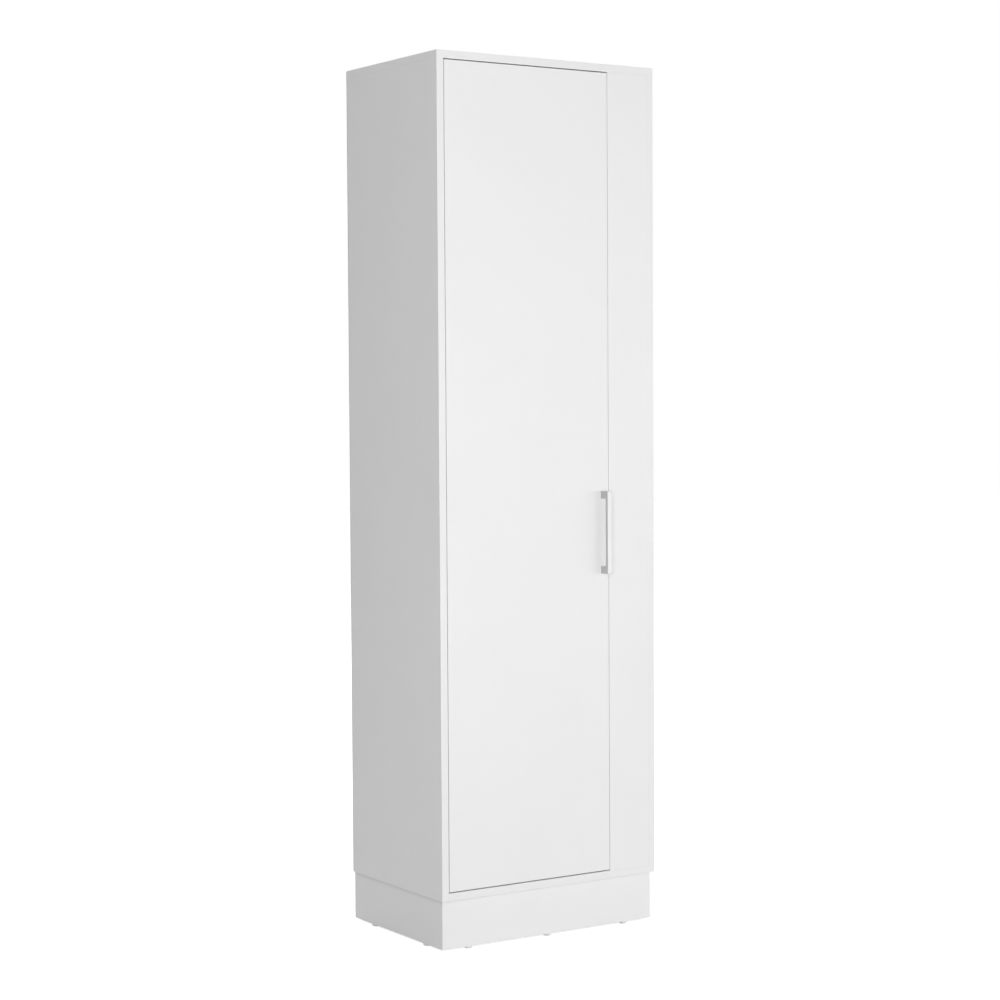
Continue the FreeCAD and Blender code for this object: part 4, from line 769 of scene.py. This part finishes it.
def dowelTree(name):
    # a beech dowel, rolled with straight flutes and with both its ends chamfered
    tree, given = newTree(name, ["Head Radius", "Head Height", "Flute Depth", "Chamfer"])
    rod = addNode(tree, "GeometryNodeMeshCylinder", {
        "Vertices": 2 * dowelShape["flutes"], "Side Segments": dowelShape["segments"], "Fill Segments": 1,
        "Radius": given["Head Radius"], "Depth": given["Head Height"]})
    spot = addNode(tree, "GeometryNodeInputPosition")
    parts = addNode(tree, "ShaderNodeSeparateXYZ", {"Vector": spot.outputs[0]})
    half = addNode(tree, "ShaderNodeMath", {0: given["Head Height"], 1: 0.5}, operation="MULTIPLY")
    height = addNode(tree, "ShaderNodeMath", {0: parts.outputs[2]}, operation="ABSOLUTE")
    nearEnd = addNode(tree, "ShaderNodeMath", {0: half.outputs[0], 1: dowelShape["endShare"]},
                      operation="MULTIPLY")
    atEnd = addNode(tree, "ShaderNodeMath", {0: height.outputs[0], 1: nearEnd.outputs[0]},
                    operation="GREATER_THAN")
    shoulder = addNode(tree, "ShaderNodeMath", {0: half.outputs[0], 1: given["Chamfer"]},
                       operation="SUBTRACT")
    cut = addNode(tree, "ShaderNodeMath", {0: atEnd.outputs[0], 1: given["Chamfer"], 2: shoulder.outputs[0]},
                  operation="MULTIPLY_ADD")
    side = addNode(tree, "ShaderNodeMath", {0: parts.outputs[2]}, operation="SIGN")
    newHeight = addNode(tree, "ShaderNodeMath", {0: cut.outputs[0], 1: side.outputs[0]}, operation="MULTIPLY")

    # every other corner of the rod lies at the bottom of a flute
    turn = addNode(tree, "ShaderNodeMath", {0: parts.outputs[1], 1: parts.outputs[0]}, operation="ARCTAN2")
    fluteTurn = addNode(tree, "ShaderNodeMath", {0: turn.outputs[0], 1: float(dowelShape["flutes"])},
                        operation="MULTIPLY")
    wave = addNode(tree, "ShaderNodeMath", {0: fluteTurn.outputs[0]}, operation="COSINE")
    depth = addNode(tree, "ShaderNodeMapRange", {
        "Value": wave.outputs[0], "From Min": -1.0, "From Max": 1.0, "To Min": 0.0,
        "To Max": given["Flute Depth"]})
    bevel = addNode(tree, "ShaderNodeMath", {0: atEnd.outputs[0], 1: given["Chamfer"], 2: depth.outputs[0]},
                    operation="MULTIPLY_ADD")
    radius = addNode(tree, "ShaderNodeMath", {0: given["Head Radius"], 1: bevel.outputs[0]},
                     operation="SUBTRACT")
    factor = addNode(tree, "ShaderNodeMath", {0: radius.outputs[0], 1: given["Head Radius"]},
                     operation="DIVIDE")
    across = [addNode(tree, "ShaderNodeMath", {0: parts.outputs[axis], 1: factor.outputs[0]},
                      operation="MULTIPLY").outputs[0] for axis in (0, 1)]
    place = addNode(tree, "ShaderNodeCombineXYZ", {"X": across[0], "Y": across[1], "Z": newHeight.outputs[0]})
    fluted = addNode(tree, "GeometryNodeSetPosition", {
        "Geometry": rod.outputs["Mesh"], "Position": place.outputs[0]})
    up = addNode(tree, "ShaderNodeCombineXYZ", {"Z": half.outputs[0]})
    seated = addNode(tree, "GeometryNodeTransform", {
        "Geometry": fluted.outputs[0], "Translation": up.outputs[0]})
    standOnPoints(tree, given, seated.outputs[0])
    return tree


def hardware(name, node, tree, seed, sizes):
    # measures the node's solids, stands the tree's shape on each, and keeps the result as a plain mesh
    solids = turnedSolids(node)
    mesh = bpy.data.meshes.new(name)
    mesh.from_pydata([solid["place"] for solid in solids], [], [])
    aim = mesh.attributes.new("direction", "FLOAT_VECTOR", "POINT")
    for solid, held in zip(solids, aim.data):
        held.vector = solid["direction"]
    piece = inScene(bpy.data.objects.new(name, mesh))
    given = {**solids[0], **{size: value * mm for size, value in sizes.items()}}
    given.update({"Seed": seed, "Material": cadNodes[node].data.materials[0]})
    builder = piece.modifiers.new(name, "NODES")
    builder.node_group = tree
    for socket in tree.interface.items_tree:
        if socket.in_out == "INPUT" and socket.name in given:
            builder[socket.identifier] = given[socket.name]
    piece = smoothed(plainCopy(piece))
    piece.data.attributes.remove(piece.data.attributes["direction"])
    standIn(piece, node)
    print(name + ":", len(solids), "solids,", len(piece.data.polygons), "faces")


# sizes in mm that the frame's plain solids don't give

woodScrew = {"Dome": 0.75, "Tip": 2.5, "Pitch": 1.5, "Thread Depth": 0.55, "Recess Span": 3.6,
             "Recess Width": 0.85, "Recess Depth": 1.3}
strikeScrew = {**woodScrew, "Dome": 0.5, "Recess Depth": 0.8}
handleScrew = {"Dome": 1.3, "Tip": 0.6, "Pitch": 0.7, "Thread Depth": 0.4, "Recess Span": 4.4,
               "Recess Width": 1.0, "Recess Depth": 1.7}
adjuster = {"Dome": 0.3, "Tip": 0.6, "Pitch": 0.8, "Thread Depth": 0.5, "Recess Span": 4.2,
            "Recess Width": 1.0, "Recess Depth": 1.3}
panelNail = {"Dome": 0.2, "Tip": 2.5}
flutedDowel = {"Flute Depth": 0.3, "Chamfer": 0.9}
nailSeed = 20
dowelSeed = 21

screwTree = drivenTree("crossHeadScrew", True)
screwSets = {"plinth_screws": ("plinthScrews", woodScrew),
             "fixed_panel_screws": ("fixedPanelScrews", woodScrew),
             "wall_bracket_screws": ("wallBracketScrews", woodScrew),
             "hinge_plate_screws": ("hingePlateScrews", woodScrew),
             "hinge_cup_screws": ("hingeCupScrews", woodScrew), "catch_screws": ("catchScrews", woodScrew),
             "clip_screws": ("clipScrews", woodScrew), "strike_screws": ("strikeScrews", strikeScrew),
             "handle_screws": ("handleScrews", handleScrew), "hinge_adjusters": ("hingeAdjusters", adjuster)}
for seed, (node, (name, sizes)) in enumerate(screwSets.items()):
    hardware(name, node, screwTree, seed, sizes)
hardware("backPanelNails", "back_panel_nails", drivenTree("panelNail", False), nailSeed, panelNail)
hardware("beechDowels", "dowels", dowelTree("flutedDowel"), dowelSeed, flutedDowel)


# the rest of the hardware: how wide its soft edges are, in mm

softEdges = {"handle": ("barHandle", 0.5)}
for level in ("lower", "middle", "upper"):
    softEdges["hinge_cup_" + level] = ("hingeCup_" + level, 0.25)
    softEdges["hinge_arm_" + level] = ("hingeArm_" + level, 0.35)
    softEdges["hinge_plate_" + level] = ("hingePlate_" + level, 0.3)
for number in range(1, 6):
    softEdges["broom_clip_%d" % number] = ("broomClip_%d" % number, 0.35)
softEdges.update({"catch_body_lower": ("catchBody_lower", 0.5), "catch_body_upper": ("catchBody_upper", 0.5),
                  "catch_magnets": ("catchMagnets", 0.2), "catch_strikes": ("strikePlates", 0.2),
                  "plinth_brackets": ("plinthBrackets", 0.3), "fixed_panel_brackets": ("panelBrackets", 0.3),
                  "wall_brackets": ("wallBrackets", 0.3), "cam_locks": ("camLocks", 0.2),
                  "floor_glides": ("floorGlides", 0.3), "cam_bolts": ("camBolts", 0.2),
                  "shelf_pins": ("shelfPins", 0.3), "hinge_pins": ("hingePins", 0.2)})
for node, (name, width) in softEdges.items():
    softened(name, node, width)
print("soft-edged pieces made:", len(softEdges))
